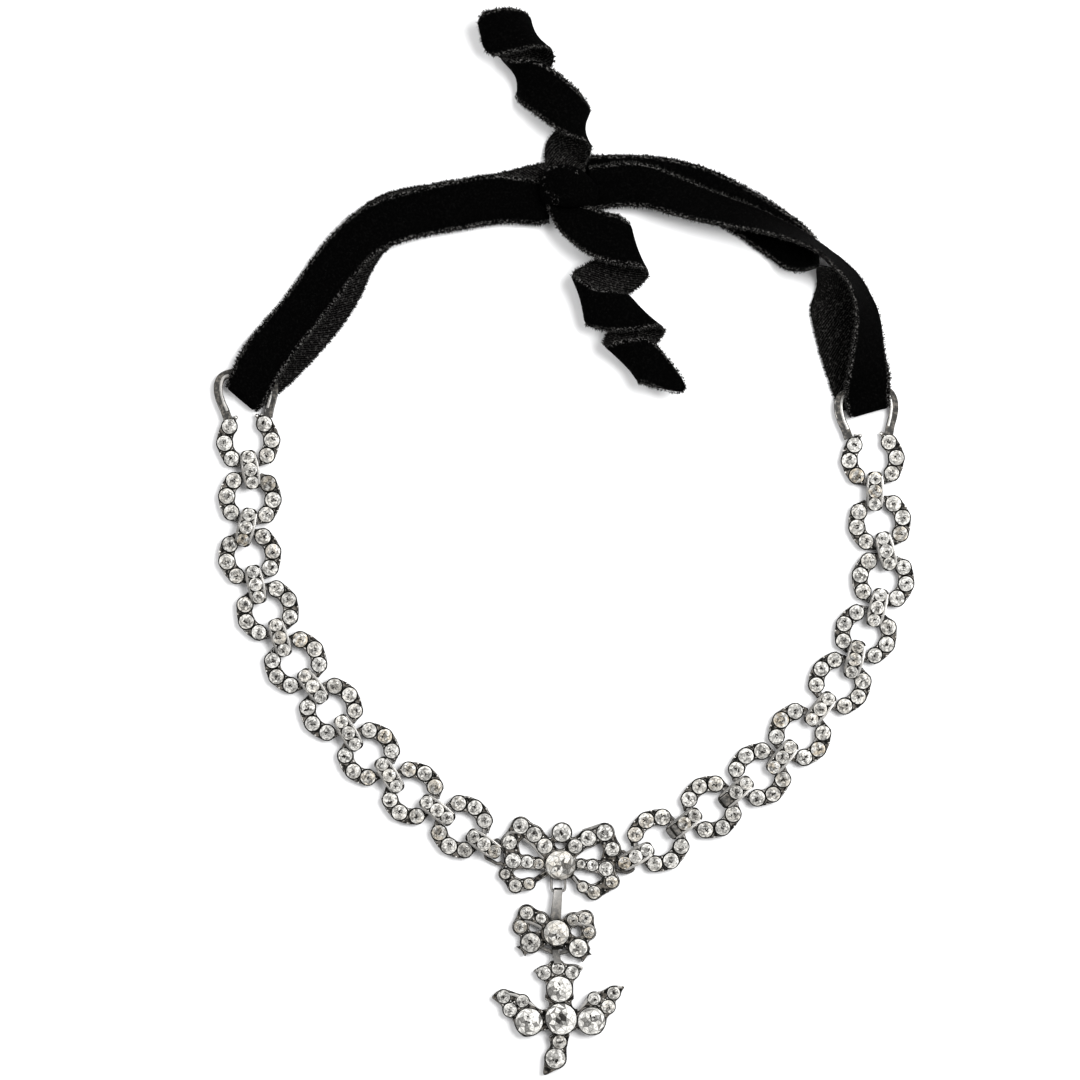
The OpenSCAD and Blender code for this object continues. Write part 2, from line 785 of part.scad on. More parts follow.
// A cut stone: table, sixteen crown facets, girdle and a tapered base.
module cut_stone(r, low, girdle, high) {
    rim = [for (k = [0 : 7]) (k + 7) % 8];
    polyhedron(
        concat(
            eight(r * table_share, high, 22.5),
            eight(r, girdle, 0),
            eight(r * base_share, low, 22.5)
        ),
        concat(
            [[for (k = [7 : -1 : 0]) k]],
            [for (k = [0 : 7]) [k, 8 + k, rim[k]]],
            [for (k = [0 : 7]) [k, 8 + (k + 1) % 8, 8 + k]],
            [for (k = [0 : 7]) [8 + k, 16 + k, 16 + rim[k]]],
            [for (k = [0 : 7]) [8 + k, 8 + (k + 1) % 8, 16 + k]],
            [[for (k = [0 : 7]) 16 + k]]
        )
    );
}

module ring_stones(rings) {
    girdle = ring_h - ring_wall;
    for (pose = rings)
        at_pose(pose)
            ring_stone_places()
                cut_stone(ring_stone_r, ring_floor + stone_gap, girdle, girdle + crown_share * ring_stone_r);
}

// Stones of the bar links; empty lists the [link, place] pairs that have lost theirs.
module bar_stones(bars, empty) {
    for (i = [0 : len(bars) - 1])
        for (k = [-1 : 1])
            if (len([for (e = empty) if (e == [i, k]) e]) == 0)
                at_pose(bars[i])
                    bar_place(k)
                        cut_stone(
                            k == 0 ? plate_mid_stone_r : plate_end_stone_r,
                            plate_low + (k == 0 ? 2 : 1.4) * edge_cut + stone_gap,
                            (k == 0 ? plate_mid_top : plate_end_top) - stone_gap,
                            (k == 0 ? plate_mid_top : plate_end_top) + crown_share
                        );
}

module seated_stones(place, seats, first, last, height) {
    for (i = [first : last])
        translate([place[0] + seats[i][0], place[1] + seats[i][1], 0])
            cut_stone(
                seats[i][2] - stone_gap,
                collet_floor + stone_gap,
                height - stone_gap,
                height - stone_gap + crown_share * (seats[i][2] - stone_gap)
            );
}

// Direction across a ribbon at a row of its table.
function across_of(row) = [cos(row[3]) * cos(row[4]), sin(row[3]) * cos(row[4]), sin(row[4])];

function spot_of(row) = [row[0], row[1], row[2]];

// Rows of half a turn round a crossbar.
function bend_rows(bend, widths) = [
    for (k = [0 : 4])
        let (a = 45 * (k - 2))
        let (r = (bend[3] - bend[2]) / 2)
        [
            bend[0] + r * cos(a) * cos(bend[6]),
            bend[1] + r * cos(a) * sin(bend[6]),
            (bend[2] + bend[3]) / 2 + r * sin(a),
            bend[4],
            bend[5],
            widths[k]
        ]
];

// The section of a ribbon at a row: eight points, with cut corners.
function ribbon_section(row, along) =
    let (w = across_of(row))
    let (n = cross(along, w) / norm(cross(along, w)))
    let (h = row[5] / 2)
    let (t = ribbon_t / 2)
    [
        for (p = [
            [h, t - edge_cut], [h - edge_cut, t], [edge_cut - h, t], [-h, t - edge_cut],
            [-h, edge_cut - t], [edge_cut - h, -t], [h - edge_cut, -t], [h, edge_cut - t]
        ])
            spot_of(row) + p[0] * w + p[1] * n
    ];

function ribbon_sections(line) = [
    for (i = [0 : len(line) - 1])
        ribbon_section(
            line[i],
            spot_of(line[min(i + 1, len(line) - 1)]) - spot_of(line[max(i - 1, 0)])
        )
];

// The section of the knot at a row, a rounded box.
function knot_section(row) = [
    for (k = [0 : knot_points - 1])
        let (c = cos(360 * k / knot_points))
        let (s = sin(360 * k / knot_points))
        [
            row[0],
            row[1] + row[2] * sign(c) * pow(abs(c), knot_power),
            (row[3] + row[4]) / 2 + (row[4] - row[3]) / 2 * sign(s) * pow(abs(s), knot_power)
        ]
];

// A closed skin over sections that have the same number of points.
module skin(sections) {
    m = len(sections);
    k = len(sections[0]);
    polyhedron(
        concat([for (s = sections) each s]),
        concat(
            [for (i = [0 : m - 2]) for (j = [0 : k - 1]) [i * k + j, i * k + k + (j + 1) % k, i * k + (j + 1) % k]],
            [for (i = [0 : m - 2]) for (j = [0 : k - 1]) [i * k + j, i * k + k + j, i * k + k + (j + 1) % k]],
            [for (j = [1 : k - 2]) [0, j, j + 1]],
            [for (j = [1 : k - 2]) [m * k - k, m * k - k + j + 1, m * k - k + j]]
        )
    );
}

module ribbon(rows, steps) {
    skin(ribbon_sections(smooth(rows, steps)));
}

module ring_link_l1() {
    color(metal)
        placed()
            at_pose(left_rings[0])
                end_ring(left_stirrup);
}

module ring_link_l2() {
    color(metal)
        placed()
            at_pose(left_rings[1])
                ring_link();
}

module ring_link_l3() {
    color(metal)
        placed()
            at_pose(left_rings[2])
                ring_link();
}

module ring_link_l4() {
    color(metal)
        placed()
            at_pose(left_rings[3])
                ring_link();
}

module ring_link_l5() {
    color(metal)
        placed()
            at_pose(left_rings[4])
                ring_link();
}

module ring_link_l6() {
    color(metal)
        placed()
            at_pose(left_rings[5])
                ring_link();
}

module ring_link_l7() {
    color(metal)
        placed()
            at_pose(left_rings[6])
                ring_link();
}

module ring_link_l8() {
    color(metal)
        placed()
            at_pose(left_rings[7])
                ring_link();
}

module ring_link_l9() {
    color(metal)
        placed()
            at_pose(left_rings[8])
                ring_link();
}

module ring_link_r1() {
    color(metal)
        placed()
            at_pose(right_rings[0])
                end_ring(right_stirrup);
}

module ring_link_r2() {
    color(metal)
        placed()
            at_pose(right_rings[1])
                ring_link();
}

module ring_link_r3() {
    color(metal)
        placed()
            at_pose(right_rings[2])
                ring_link();
}

module ring_link_r4() {
    color(metal)
        placed()
            at_pose(right_rings[3])
                ring_link();
}

module ring_link_r5() {
    color(metal)
        placed()
            at_pose(right_rings[4])
                ring_link();
}

module ring_link_r6() {
    color(metal)
        placed()
            at_pose(right_rings[5])
                ring_link();
}

module ring_link_r7() {
    color(metal)
        placed()
            at_pose(right_rings[6])
                ring_link();
}

module ring_link_r8() {
    color(metal)
        placed()
            at_pose(right_rings[7])
                ring_link();
}

module ring_link_r9() {
    color(metal)
        placed()
            at_pose(right_rings[8])
                ring_link();
}

module bar_link_l1() {
    color(metal)
        placed()
            at_pose(left_bars[0])
                bar_link();
}

module bar_link_l2() {
    color(metal)
        placed()
            at_pose(left_bars[1])
                bar_link();
}

module bar_link_l3() {
    color(metal)
        placed()
            at_pose(left_bars[2])
                bar_link();
}

module bar_link_l4() {
    color(metal)
        placed()
            at_pose(left_bars[3])
                bar_link();
}

module bar_link_l5() {
    color(metal)
        placed()
            at_pose(left_bars[4])
                bar_link();
}

module bar_link_l6() {
    color(metal)
        placed()
            at_pose(left_bars[5])
                bar_link();
}

module bar_link_l7() {
    color(metal)
        placed()
            at_pose(left_bars[6])
                bar_link();
}

module bar_link_l8() {
    color(metal)
        placed()
            at_pose(left_bars[7])
                bar_link();
}

module bar_link_l9() {
    color(metal)
        placed()
            at_pose(left_bars[8])
                bar_link();
}

module bar_link_r1() {
    color(metal)
        placed()
            at_pose(right_bars[0])
                bar_link();
}

module bar_link_r2() {
    color(metal)
        placed()
            at_pose(right_bars[1])
                bar_link();
}

module bar_link_r3() {
    color(metal)
        placed()
            at_pose(right_bars[2])
                bar_link();
}

module bar_link_r4() {
    color(metal)
        placed()
            at_pose(right_bars[3])
                bar_link();
}

module bar_link_r5() {
    color(metal)
        placed()
            at_pose(right_bars[4])
                bar_link();
}

module bar_link_r6() {
    color(metal)
        placed()
            at_pose(right_bars[5])
                bar_link();
}

module bar_link_r7() {
    color(metal)
        placed()
            at_pose(right_bars[6])
                bar_link();
}

module bar_link_r8() {
    color(metal)
        placed()
            at_pose(right_bars[7])
                bar_link();
}

module bar_link_r9() {
    color(metal)
        placed()
            at_pose(right_bars[8])
                bar_link();
}

module center_bow() {
    color(metal)
        placed()
            bow_metal();
}

module bow_drop() {
    color(metal)
        placed()
            drop_metal();
}

module dove_pendant() {
    color(metal)
        placed()
            dove_metal();
}

module ring_stones_left() {
    color(paste)
        placed()
            ring_stones(left_rings);
}

module ring_stones_right() {
    color(paste)
        placed()
            ring_stones(right_rings);
}

module bar_stones_left() {
    color(paste)
        placed()
            bar_stones(left_bars, []);
}

module bar_stones_right() {
    color(paste)
        placed()
            bar_stones(right_bars, empty_right);
}

module bow_stones() {
    color(paste)
        placed()
            seated_stones(bow_at, bow_seats, 1, len(bow_seats) - 1, collet_h);
}

module drop_stones() {
    color(paste)
        placed()
            seated_stones(drop_at, drop_seats, 1, len(drop_seats) - 1, collet_h);
}

module dove_stones() {
    color(paste)
        placed()
            seated_stones(dove_at, dove_seats, dove_mains, len(dove_seats) - 1, collet_h);
}

module bow_center_stone() {
    color(paste)
        placed()
            seated_stones(bow_at, bow_seats, 0, 0, main_h);
}

module drop_center_stone() {
    color(paste)
        placed()
            seated_stones(drop_at, drop_seats, 0, 0, main_h);
}

module dove_breast_stone() {
    color(paste)
        placed()
            seated_stones(dove_at, dove_seats, 0, 0, main_h);
}

module dove_tail_stone() {
    color(paste)
        placed()
            seated_stones(dove_at, dove_seats, 1, 1, main_h);
}

module dove_wing_stone_left() {
    color(paste)
        placed()
            seated_stones(dove_at, dove_seats, 2, 2, main_h);
}

module dove_wing_stone_right() {
    color(paste)
        placed()
            seated_stones(dove_at, dove_seats, 3, 3, main_h);
}

module ribbon_left() {
    color(velvet)
        placed()
            ribbon(concat(left_under, bend_rows(left_bend, left_bend_widths), left_over), ribbon_steps);
}

module ribbon_right() {
    color(velvet)
        placed()
            ribbon(concat(right_under, bend_rows(right_bend, right_bend_widths), right_over), ribbon_steps);
}

module ribbon_knot() {
    color(velvet)
        placed()
            skin([for (row = smooth(knot_rows, ribbon_steps)) knot_section(row)]);
}

module ribbon_tail_upper() {
    color(velvet)
        placed()
            ribbon(upper_tail, tail_steps);
}

module ribbon_tail_lower() {
    color(velvet)
        placed()
            ribbon(lower_tail, tail_steps);
}

ring_link_l1();
ring_link_l2();
ring_link_l3();
ring_link_l4();
ring_link_l5();
ring_link_l6();
ring_link_l7();
ring_link_l8();
ring_link_l9();
ring_link_r1();
ring_link_r2();
ring_link_r3();
ring_link_r4();
ring_link_r5();
ring_link_r6();
ring_link_r7();
ring_link_r8();
ring_link_r9();
bar_link_l1();
bar_link_l2();
bar_link_l3();
bar_link_l4();
bar_link_l5();
bar_link_l6();
bar_link_l7();
bar_link_l8();
bar_link_l9();
bar_link_r1();
bar_link_r2();
bar_link_r3();
bar_link_r4();
bar_link_r5();
bar_link_r6();
bar_link_r7();
bar_link_r8();
bar_link_r9();
center_bow();
bow_drop();
dove_pendant();
ring_stones_left();
ring_stones_right();
bar_stones_left();
bar_stones_right();
bow_stones();
drop_stones();
dove_stones();
bow_center_stone();
drop_center_stone();
dove_breast_stone();
dove_tail_stone();
dove_wing_stone_left();
dove_wing_stone_right();
ribbon_left();
ribbon_right();
ribbon_knot();
ribbon_tail_upper();
ribbon_tail_lower();
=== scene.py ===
import math
import bpy
import bmesh
import numpy as np
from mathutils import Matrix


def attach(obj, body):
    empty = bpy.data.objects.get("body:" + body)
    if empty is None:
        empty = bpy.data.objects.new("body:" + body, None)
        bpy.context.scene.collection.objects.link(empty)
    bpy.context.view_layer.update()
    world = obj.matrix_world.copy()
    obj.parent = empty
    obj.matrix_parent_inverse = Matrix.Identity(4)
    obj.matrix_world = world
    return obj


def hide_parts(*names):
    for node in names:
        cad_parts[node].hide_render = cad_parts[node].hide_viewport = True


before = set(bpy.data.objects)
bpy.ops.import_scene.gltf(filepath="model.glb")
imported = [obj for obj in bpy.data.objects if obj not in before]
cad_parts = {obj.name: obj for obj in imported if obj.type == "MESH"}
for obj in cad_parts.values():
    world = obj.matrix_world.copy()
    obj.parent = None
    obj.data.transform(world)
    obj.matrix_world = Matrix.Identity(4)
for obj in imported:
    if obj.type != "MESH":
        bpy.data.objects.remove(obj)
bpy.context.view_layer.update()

# Millimetres, as in the part's source: the drawing's middle is moved to the origin.
MM = 0.001
MIDDLE = np.array([-0.187, -0.574, 0])
GRID = 0.13
BACK = 0.02

# Ring links from the top down: middle x and y, turn in degrees; the last bar of a side has no ring below
LEFT_RINGS = [
    (-63.5, 19.84, 4.3), (-63.16, 8.5, -4.6), (-63.16, -3.12, 12.5), (-59.58, -14.06, 27), (-54, -24.4, 36),
    (-46.9, -33.78, 38.3), (-39.36, -42.66, 47.5), (-30.62, -50.56, 57.4), (-20.72, -57.28, 56.2),
]
RIGHT_RINGS = [
    (61.5, 16.26, 4.8), (62.84, 3.56, 12.7), (63.54, -7.8, -11.3), (60.06, -18.68, -25.9),
    (54.86, -28.48, -36.2), (46.88, -38.82, -38), (38.84, -46.82, -55), (29.1, -53.3, -61),
    (18.54, -60, -57.7),
]
LEFT_LAST = (-16.3, -60.64, 56.3)
RIGHT_LAST = (14.04, -63.16, -60.5)
# A ring's seats lie on a circle, so many degrees apart; its two bars lie on a circle of BAR_REACH.
RING_ORBIT, RING_STEP, RING_STONE = 4.7, 42, 1.49
RING_INNER, RING_OUTER, RING_TOP = 3.1, 6.2, 1.85
BAR_REACH, BAR_Z = 4.6, 1.22
BAR_SEAT_STEP, BAR_WIDE, BAR_LONG, BAR_CORNER = 2.6, 0.5, 2.97, 0.95
BAR_TOP, BAR_BOTTOM = 3.02, 2.02
# Of a link's stones: how far they rise above the girdle and the height of their foot.
RING_STONE_RISE, RING_STONE_FOOT, BAR_STONE_RISE, BAR_STONE_FOOT = 0.5, 0.62, 0.42, 2.5
STIRRUP = [(4, 4.5), (4.5, 6.4), (5.15, 8.2), (5.55, 10.2), (5.35, 12), (4.4, 13.3)]
TIP = [(3.4, 3.4), (3.3, 4.75), (1.85, 5.15), (1.75, 4.8), (2.5, 3.75)]
OPEN_TIP = [(3.4, 3.4), (3.4, 4.75), (2.2, 5.3), (1.8, 4.9), (2.5, 3.75)]

# Seats of bow, drop and dove: x, y and radius from each piece's middle. A limb joins two seats, with a share
# of their width. Metal stands higher round the main stones.
FIELD_TOP, MAIN_TOP, WIRE_Z = 1.95, 2.5, 1.98
FIELD_GIRDLE, MAIN_GIRDLE, STONE_FOOT = 1.9, 2.42, 0.72
BOW_AT = (-1, -64.84)
BOW = [
    (0, 0, 2.75), (0.28, 6.42, 1.7), (-3.12, 3.74, 1.4), (-5.26, 6.06, 1.4), (-7.94, 7.76, 1.4),
    (-10.18, 4.46, 1.3), (-9.46, 0.8, 1.4), (-6.68, 0.52, 1.1), (-4.36, 0.18, 0.9), (-11.06, -1.86, 0.85),
    (-9.02, -4.2, 1.15), (-6.32, -3.84, 0.95), (2.96, 3.66, 1.3), (5.54, 5.26, 1.45), (8.84, 6.42, 1.5),
    (10.36, 3.12, 1.3), (4.12, 0.08, 0.75), (6.44, -0.18, 1), (9.12, -0.82, 1.3), (10.28, -3.4, 1.1),
    (6.7, -5.54, 1.15), (4.46, -4.44, 0.9),
]
BOW_LIMBS = [
    (0, 2, 0.9), (2, 3, 1), (3, 4, 1), (4, 5, 1), (5, 6, 1), (6, 7, 0.9), (7, 8, 0.9), (8, 0, 0.9),
    (6, 9, 1), (9, 10, 1), (10, 11, 0.9), (11, 0, 0.4), (1, 2, 0.35), (1, 12, 0.35), (0, 12, 0.9),
    (12, 13, 1), (13, 14, 1), (14, 15, 1), (15, 18, 1), (18, 17, 0.9), (17, 16, 0.9), (16, 0, 0.9),
    (18, 19, 1), (19, 20, 1), (20, 21, 0.9), (21, 0, 0.4),
]
DROP_AT = (-1.8, -78.4)
DROP = [
    (0, 0, 2.45), (-3.08, 2.82, 0.9), (-5.96, 3.94, 1.2), (-7.2, 1.14, 1.2), (-5.12, -2.02, 1.8),
    (3.22, 2.54, 1), (5.76, 2.82, 1.2), (6.5, -0.06, 1), (4.36, -3.08, 1.7),
]
DROP_LIMBS = [
    (0, 1, 0.9), (1, 2, 1), (2, 3, 1), (3, 4, 0.7), (4, 0, 0.7), (0, 5, 0.9), (5, 6, 1), (6, 7, 1),
    (7, 8, 0.7), (8, 0, 0.7),
]
DROP_CLAWS = [
    [(-6.3, -2.2), (-7, -2.7), (-8, -2.85), (-7.3, -3.35), (-6.9, -3.8), (-6.3, -4.75), (-5.8, -4.1),
     (-4.6, -3.8)],
    [(4, -4.8), (4.8, -5.1), (5.15, -5.95), (5.8, -5.2), (6.2, -4.6), (7, -4.45), (6.55, -3.9), (6.75, -3.2),
     (5.9, -2.6)],
]
DOVE_AT = (-0.88, -95.62)
DOVE = [
    (0, 0, 3), (-0.3, 5.92, 2.4), (-6.42, -0.6, 2.6), (6.1, -0.4, 2.6), (-3.4, 9.12, 1.2),
    (-0.6, 10.1, 1.15), (2.2, 9.22, 1.2), (-10.2, 1.74, 1.25), (-7.7, 3.5, 1.1), (-11.52, 4.4, 1.2),
    (6.64, 3.98, 1.15), (9.4, 2.36, 1.25), (10.52, 5.1, 1.15), (-0.3, -4.68, 1.25), (-1.12, -7.96, 1.88),
]
# Left wing, right wing, tail, head and beak
DOVE_SHAPES = [
    [(-3.64, -1.14), (-3.4, 1), (-4.9, 2.3), (-6.3, 3.6), (-7.7, 4.6), (-9.08, 5.15), (-10.5, 5.6),
     (-11.94, 5.58), (-13.08, 5.14), (-13.8, 4.2), (-13.08, 3.58), (-11.94, 2.58), (-11.08, 1.14),
     (-9.64, -0.42), (-8.6, -2.28), (-7.5, -3.55), (-6.22, -3.42), (-4.8, -2.56)],
    [(3.5, -1.42), (3.5, 1.3), (4.36, 2.6), (5.4, 3.95), (6.6, 5), (8.06, 5.44), (9.5, 6.14), (10.92, 6.52),
     (12.6, 6.34), (11.92, 5.14), (10.92, 3.44), (10.36, 1.72), (9.2, 0.1), (8.64, -1.14), (7.78, -2.86),
     (6.06, -3.14), (4.64, -2.56)],
    [(-2.9, 3.6), (-2.8, 6), (-3.36, 7.58), (-4.8, 9), (-5.5, 9.44), (-4.8, 10), (-3.64, 10.44),
     (-2.5, 10.86), (-2.02, 11.44), (-0.08, 11.6), (0.64, 11), (2.06, 10.86), (3.5, 10.66), (4.45, 10.14),
     (3.78, 9.3), (2.78, 8), (2.2, 6), (2.2, 3.6)],
    [(-3.36, -9.14), (-3.02, -7), (-2.08, -5.42), (-2.22, -3.42), (1.5, -3.14), (1.06, -5.14), (1.06, -7.7),
     (0.64, -9.28), (-1.08, -10.28), (-3.4, -11.3)],
]


# Curves and outlines; lengths are signed distances, negative inside
def smooth(rows, steps):
    rows = np.array(rows, float)
    n = len(rows)
    out = []
    for i in range(n - 1):
        a, b, c, d = rows[max(i - 1, 0)], rows[i], rows[i + 1], rows[min(i + 2, n - 1)]
        for s in range(steps + (1 if i == n - 2 else 0)):
            t = s / steps
            out.append(0.5 * (2 * b + (c - a) * t + (2 * a - 5 * b + 4 * c - d) * t * t
                              + (3 * b - a - 3 * c + d) * t ** 3))
    return np.array(out)


def closed(at, rows):
    """A smooth closed outline, moved to its place."""
    rows = [(at[0] + x, at[1] + y) for x, y in rows]
    return smooth(rows[-1:] + rows + rows[:2], 5)[5:5 * (len(rows) + 1)]


def unit(rows):
    return rows / np.linalg.norm(rows, axis=1, keepdims=True)


def tangents(p):
    n = len(p)
    return np.array([p[min(i + 1, n - 1)] - p[max(i - 1, 0)] for i in range(n)])


def level(points, z):
    return [(p[0], p[1], z) for p in points]


def polar(r, degrees):
    a = math.radians(degrees)
    return r * math.cos(a), r * math.sin(a)


def local(pose, x, y):
    """A point given in a piece's own axes, in the plan."""
    a = math.radians(pose[2])
    return pose[0] + x * math.cos(a) - y * math.sin(a), pose[1] + x * math.sin(a) + y * math.cos(a)


def disc(x, y, c, r):
    return np.hypot(x - c[0], y - c[1]) - r


def capsule(x, y, a, b, ra, rb):
    dx, dy = b[0] - a[0], b[1] - a[1]
    t = np.clip(((x - a[0]) * dx + (y - a[1]) * dy) / (dx * dx + dy * dy), 0, 1)
    return np.hypot(x - a[0] - t * dx, y - a[1] - t * dy) - (ra + t * (rb - ra))


def polygon(x, y, pts):
    d = np.full(x.shape, 1e9)
    inside = np.zeros(x.shape, bool)
    for i in range(len(pts)):
        a, b = pts[i - 1], pts[i]
        d = np.minimum(d, capsule(x, y, a, b, 0, 0))
        if a[1] != b[1]:
            inside ^= ((a[1] > y) != (b[1] > y)) & (x < (b[0] - a[0]) * (y - a[1]) / (b[1] - a[1]) + a[0])
    return np.where(inside, -d, d)


def melt(a, b, k):
    h = np.clip(0.5 + 0.5 * (b - a) / k, 0, 1)
    return b + (a - b) * h - k * h * (1 - h)


def step01(lo, hi, v):
    t = np.clip((v - lo) / (hi - lo), 0, 1)
    return t * t * (3 - 2 * t)


def slopes(outline, x, y, e):
    gx = (outline(x + e, y) - outline(x - e, y)) / (2 * e)
    return gx, (outline(x, y + e) - outline(x, y - e)) / (2 * e)


def tube_faces(n, m, flip=False):
    """Faces of a closed tube of n rings of m corners, with its two ends."""
    f = []
    for i in range(n - 1):
        for j in range(m):
            a, b = i * m + j, i * m + (j + 1) % m
            f.append([a, a + m, b + m, b] if flip else [a, b, b + m, a + m])
    ends = [list(range(m - 1, -1, -1)), list(range((n - 1) * m, n * m))]
    return f + [end[::-1] if flip else end for end in ends]


class Form:
    """Vertices in millimetres, faces, and one value a vertex for edge, seat and wear."""

    def __init__(self):
        self.v, self.f, self.a, self.t, self.n = [], [], [], [], 0

    def add(self, v, f, attr=(0.5, 1, 0), tone=None):
        v = np.asarray(v, float)
        self.v.append(v)
        attr = np.asarray(attr, float)
        self.a.append(np.broadcast_to(attr, (len(v), 3)) if attr.ndim == 1 else attr)
        self.f += [[self.n + int(i) for i in q] for q in f]
        self.t += list(tone) if tone is not None else [0] * len(f)
        self.n += len(v)

    def piece(self, name, material, slot, nodes, smooth_angle=None):
        v = (np.concatenate(self.v) - MIDDLE) * MM
        mesh = bpy.data.meshes.new(name)
        mesh.from_pydata(v.tolist(), [], self.f)
        a = np.concatenate(self.a)
        for i, key in enumerate(("edge", "seat", "wear")):
            mesh.attributes.new(key, "FLOAT", "POINT").data.foreach_set("value", a[:, i].astype(np.float32))
        mesh.attributes.new("tone", "FLOAT", "FACE").data.foreach_set("value", np.array(self.t, np.float32))
        if smooth_angle:
            mesh.polygons.foreach_set("use_smooth", [True] * len(mesh.polygons))
            mesh.set_sharp_from_angle(angle=math.radians(smooth_angle))
        mesh.materials.append(material)
        obj = bpy.data.objects.new(name, mesh)
        bpy.context.scene.collection.objects.link(obj)
        if nodes:
            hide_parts(*nodes)
        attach(obj, "root")
        return obj

    def metal(self, node):
        self.piece(node + "_detail", SILVER, "metal", [node], 50)


def at_pose(v, pose):
    v = np.array(v, float)
    v[:, 0], v[:, 1] = local(pose, v[:, 0], v[:, 1])
    return v


def relief(form, outline, top, low, box, seats, pose=(0, 0, 0), taper=0.14):
    """A solid with the given outline, whose upper face follows top(x, y, inward distance, seat distance)."""
    xs = np.arange(box[0] - GRID, box[2] + 2 * GRID, GRID)
    ys = np.arange(box[1] - GRID, box[3] + 2 * GRID, GRID)
    X, Y = np.meshgrid(xs, ys, indexing="ij")
    ins = outline(X, Y) < 0
    cell = ins[:-1, :-1] | ins[1:, :-1] | ins[:-1, 1:] | ins[1:, 1:]
    used = np.zeros_like(ins)
    for i in (0, 1):
        for j in (0, 1):
            used[i:i + cell.shape[0], j:j + cell.shape[1]] |= cell
    index = np.full(ins.shape, -1)
    index[used] = np.arange(used.sum())
    x, y, move = X[used], Y[used], ~ins[used]
    # grid points outside are drawn onto the outline
    for _ in range(4):
        d = outline(x[move], y[move])
        gx, gy = slopes(outline, x[move], y[move], 0.01)
        g = np.maximum(gx * gx + gy * gy, 0.2)
        x[move] -= np.clip(d * gx / g, -GRID, GRID)
        y[move] -= np.clip(d * gy / g, -GRID, GRID)
    inward = np.maximum(-outline(x, y), 0)
    seat = np.full(x.shape, 9.0)
    for s in seats:
        seat = np.minimum(seat, np.hypot(x - s[0], y - s[1]) - s[2] - 0.1)
    z = top(x, y, inward, seat)
    ci, cj = np.nonzero(cell)
    quads = np.stack([index[ci, cj], index[ci + 1, cj], index[ci + 1, cj + 1], index[ci, cj + 1]], 1)
    # edges of one quad only are the rim
    edges = {}
    for q in quads:
        for k in range(4):
            a, b = int(q[k]), int(q[(k + 1) % 4])
            if (b, a) in edges:
                del edges[(b, a)]
            else:
                edges[(a, b)] = True
    rim = sorted({i for e in edges for i in e})
    place = {v: k for k, v in enumerate(rim)}
    rx, ry = x[rim], y[rim]
    gx, gy = slopes(outline, rx, ry, 0.02)
    gn = np.maximum(np.hypot(gx, gy), 0.3)
    n0 = len(x)
    count = len(rim)
    mid = np.stack([rx + 0.03 * gx / gn, ry + 0.03 * gy / gn, z[rim] - 0.22], 1)
    bottom = np.stack([rx - taper * gx / gn, ry - taper * gy / gn, np.full(count, low)], 1)
    v = np.concatenate([np.stack([x, y, z], 1), mid, bottom])
    faces = quads.tolist()
    for a, b in edges:
        ma, mb = n0 + place[a], n0 + place[b]
        faces.append([b, a, ma, mb])
        faces.append([mb, ma, ma + count, mb + count])
    bm = bmesh.new()
    bv = [bm.verts.new(p) for p in bottom]
    be = []
    for a, b in edges:
        pair = (bv[place[a]], bv[place[b]])
        if bm.edges.get(pair) is None:
            be.append(bm.edges.new(pair))
    bmesh.ops.triangle_fill(bm, use_beauty=False, use_dissolve=False, edges=be, normal=(0, 0, -1))
    bm.verts.index_update()
    for f in bm.faces:
        faces.append([n0 + count + w.index for w in f.verts])
    bm.free()
    upper = np.stack([inward, seat, np.zeros(n0)], 1)
    form.add(at_pose(v, pose), faces, np.concatenate([upper, np.tile([0, 2, 0], (2 * count, 1))]))


def grain(form, x, y, z, r, pose=(0, 0, 0), wear=1.0):
    """A small round bead of metal."""
    v, f = [[x, y, z + r]], []
    for wide, high in ((0.72, 0.68), (1, -0.3)):
        for k in range(8):
            a = k * math.pi / 4
            v.append([x + wide * r * math.cos(a), y + wide * r * math.sin(a), z + high * r])
    for k in range(8):
        n = (k + 1) % 8
        f += [[0, 1 + k, 1 + n], [1 + k, 9 + k, 9 + n, 1 + n]]
    form.add(at_pose(v, pose), f, (0.1, 2, wear))


def strip(form, line, half, thick, pose=(0, 0, 0), wear=0.5, bevel=0.3, seat=2.0):
    """A flat wire along a line of (x, y, z): half is its half-width (one value or one a point)."""
    line = np.array(line, float)
    n = len(line)
    half = np.broadcast_to(np.asarray(half, float), (n,))
    tang = tangents(line)
    side = np.stack([-tang[:, 1], tang[:, 0], np.zeros(n)], 1)
    length = np.linalg.norm(side, axis=1, keepdims=True)
    side = np.where(length > 1e-6, side / np.maximum(length, 1e-6), np.array([[1.0, 0, 0]]))
    up = np.cross(tang, side)
    up /= np.maximum(np.linalg.norm(up, axis=1, keepdims=True), 1e-9)
    up *= np.sign(up[:, 2:3] + 1e-9)
    wear = np.broadcast_to(np.asarray(wear, float), (n,))
    c = bevel * thick
    v, attr = [], []
    for i in range(n):
        h, t = half[i], thick / 2
        profile = [(h, t - c, 0), (h - c, t, 0.08), (h - 0.3, t - 0.03, 0.5), (0.3 - h, t - 0.03, 0.5),
                   (c - h, t, 0.08), (-h, t - c, 0), (-h, c - t, 0), (c - h, -t, 0), (h - c, -t, 0),
                   (h, c - t, 0)]
        for u, w, e in profile:
            v.append(line[i] + u * side[i] + w * up[i])
            attr.append((e, seat, wear[i]))
    form.add(at_pose(v, pose), tube_faces(n, 10), attr)


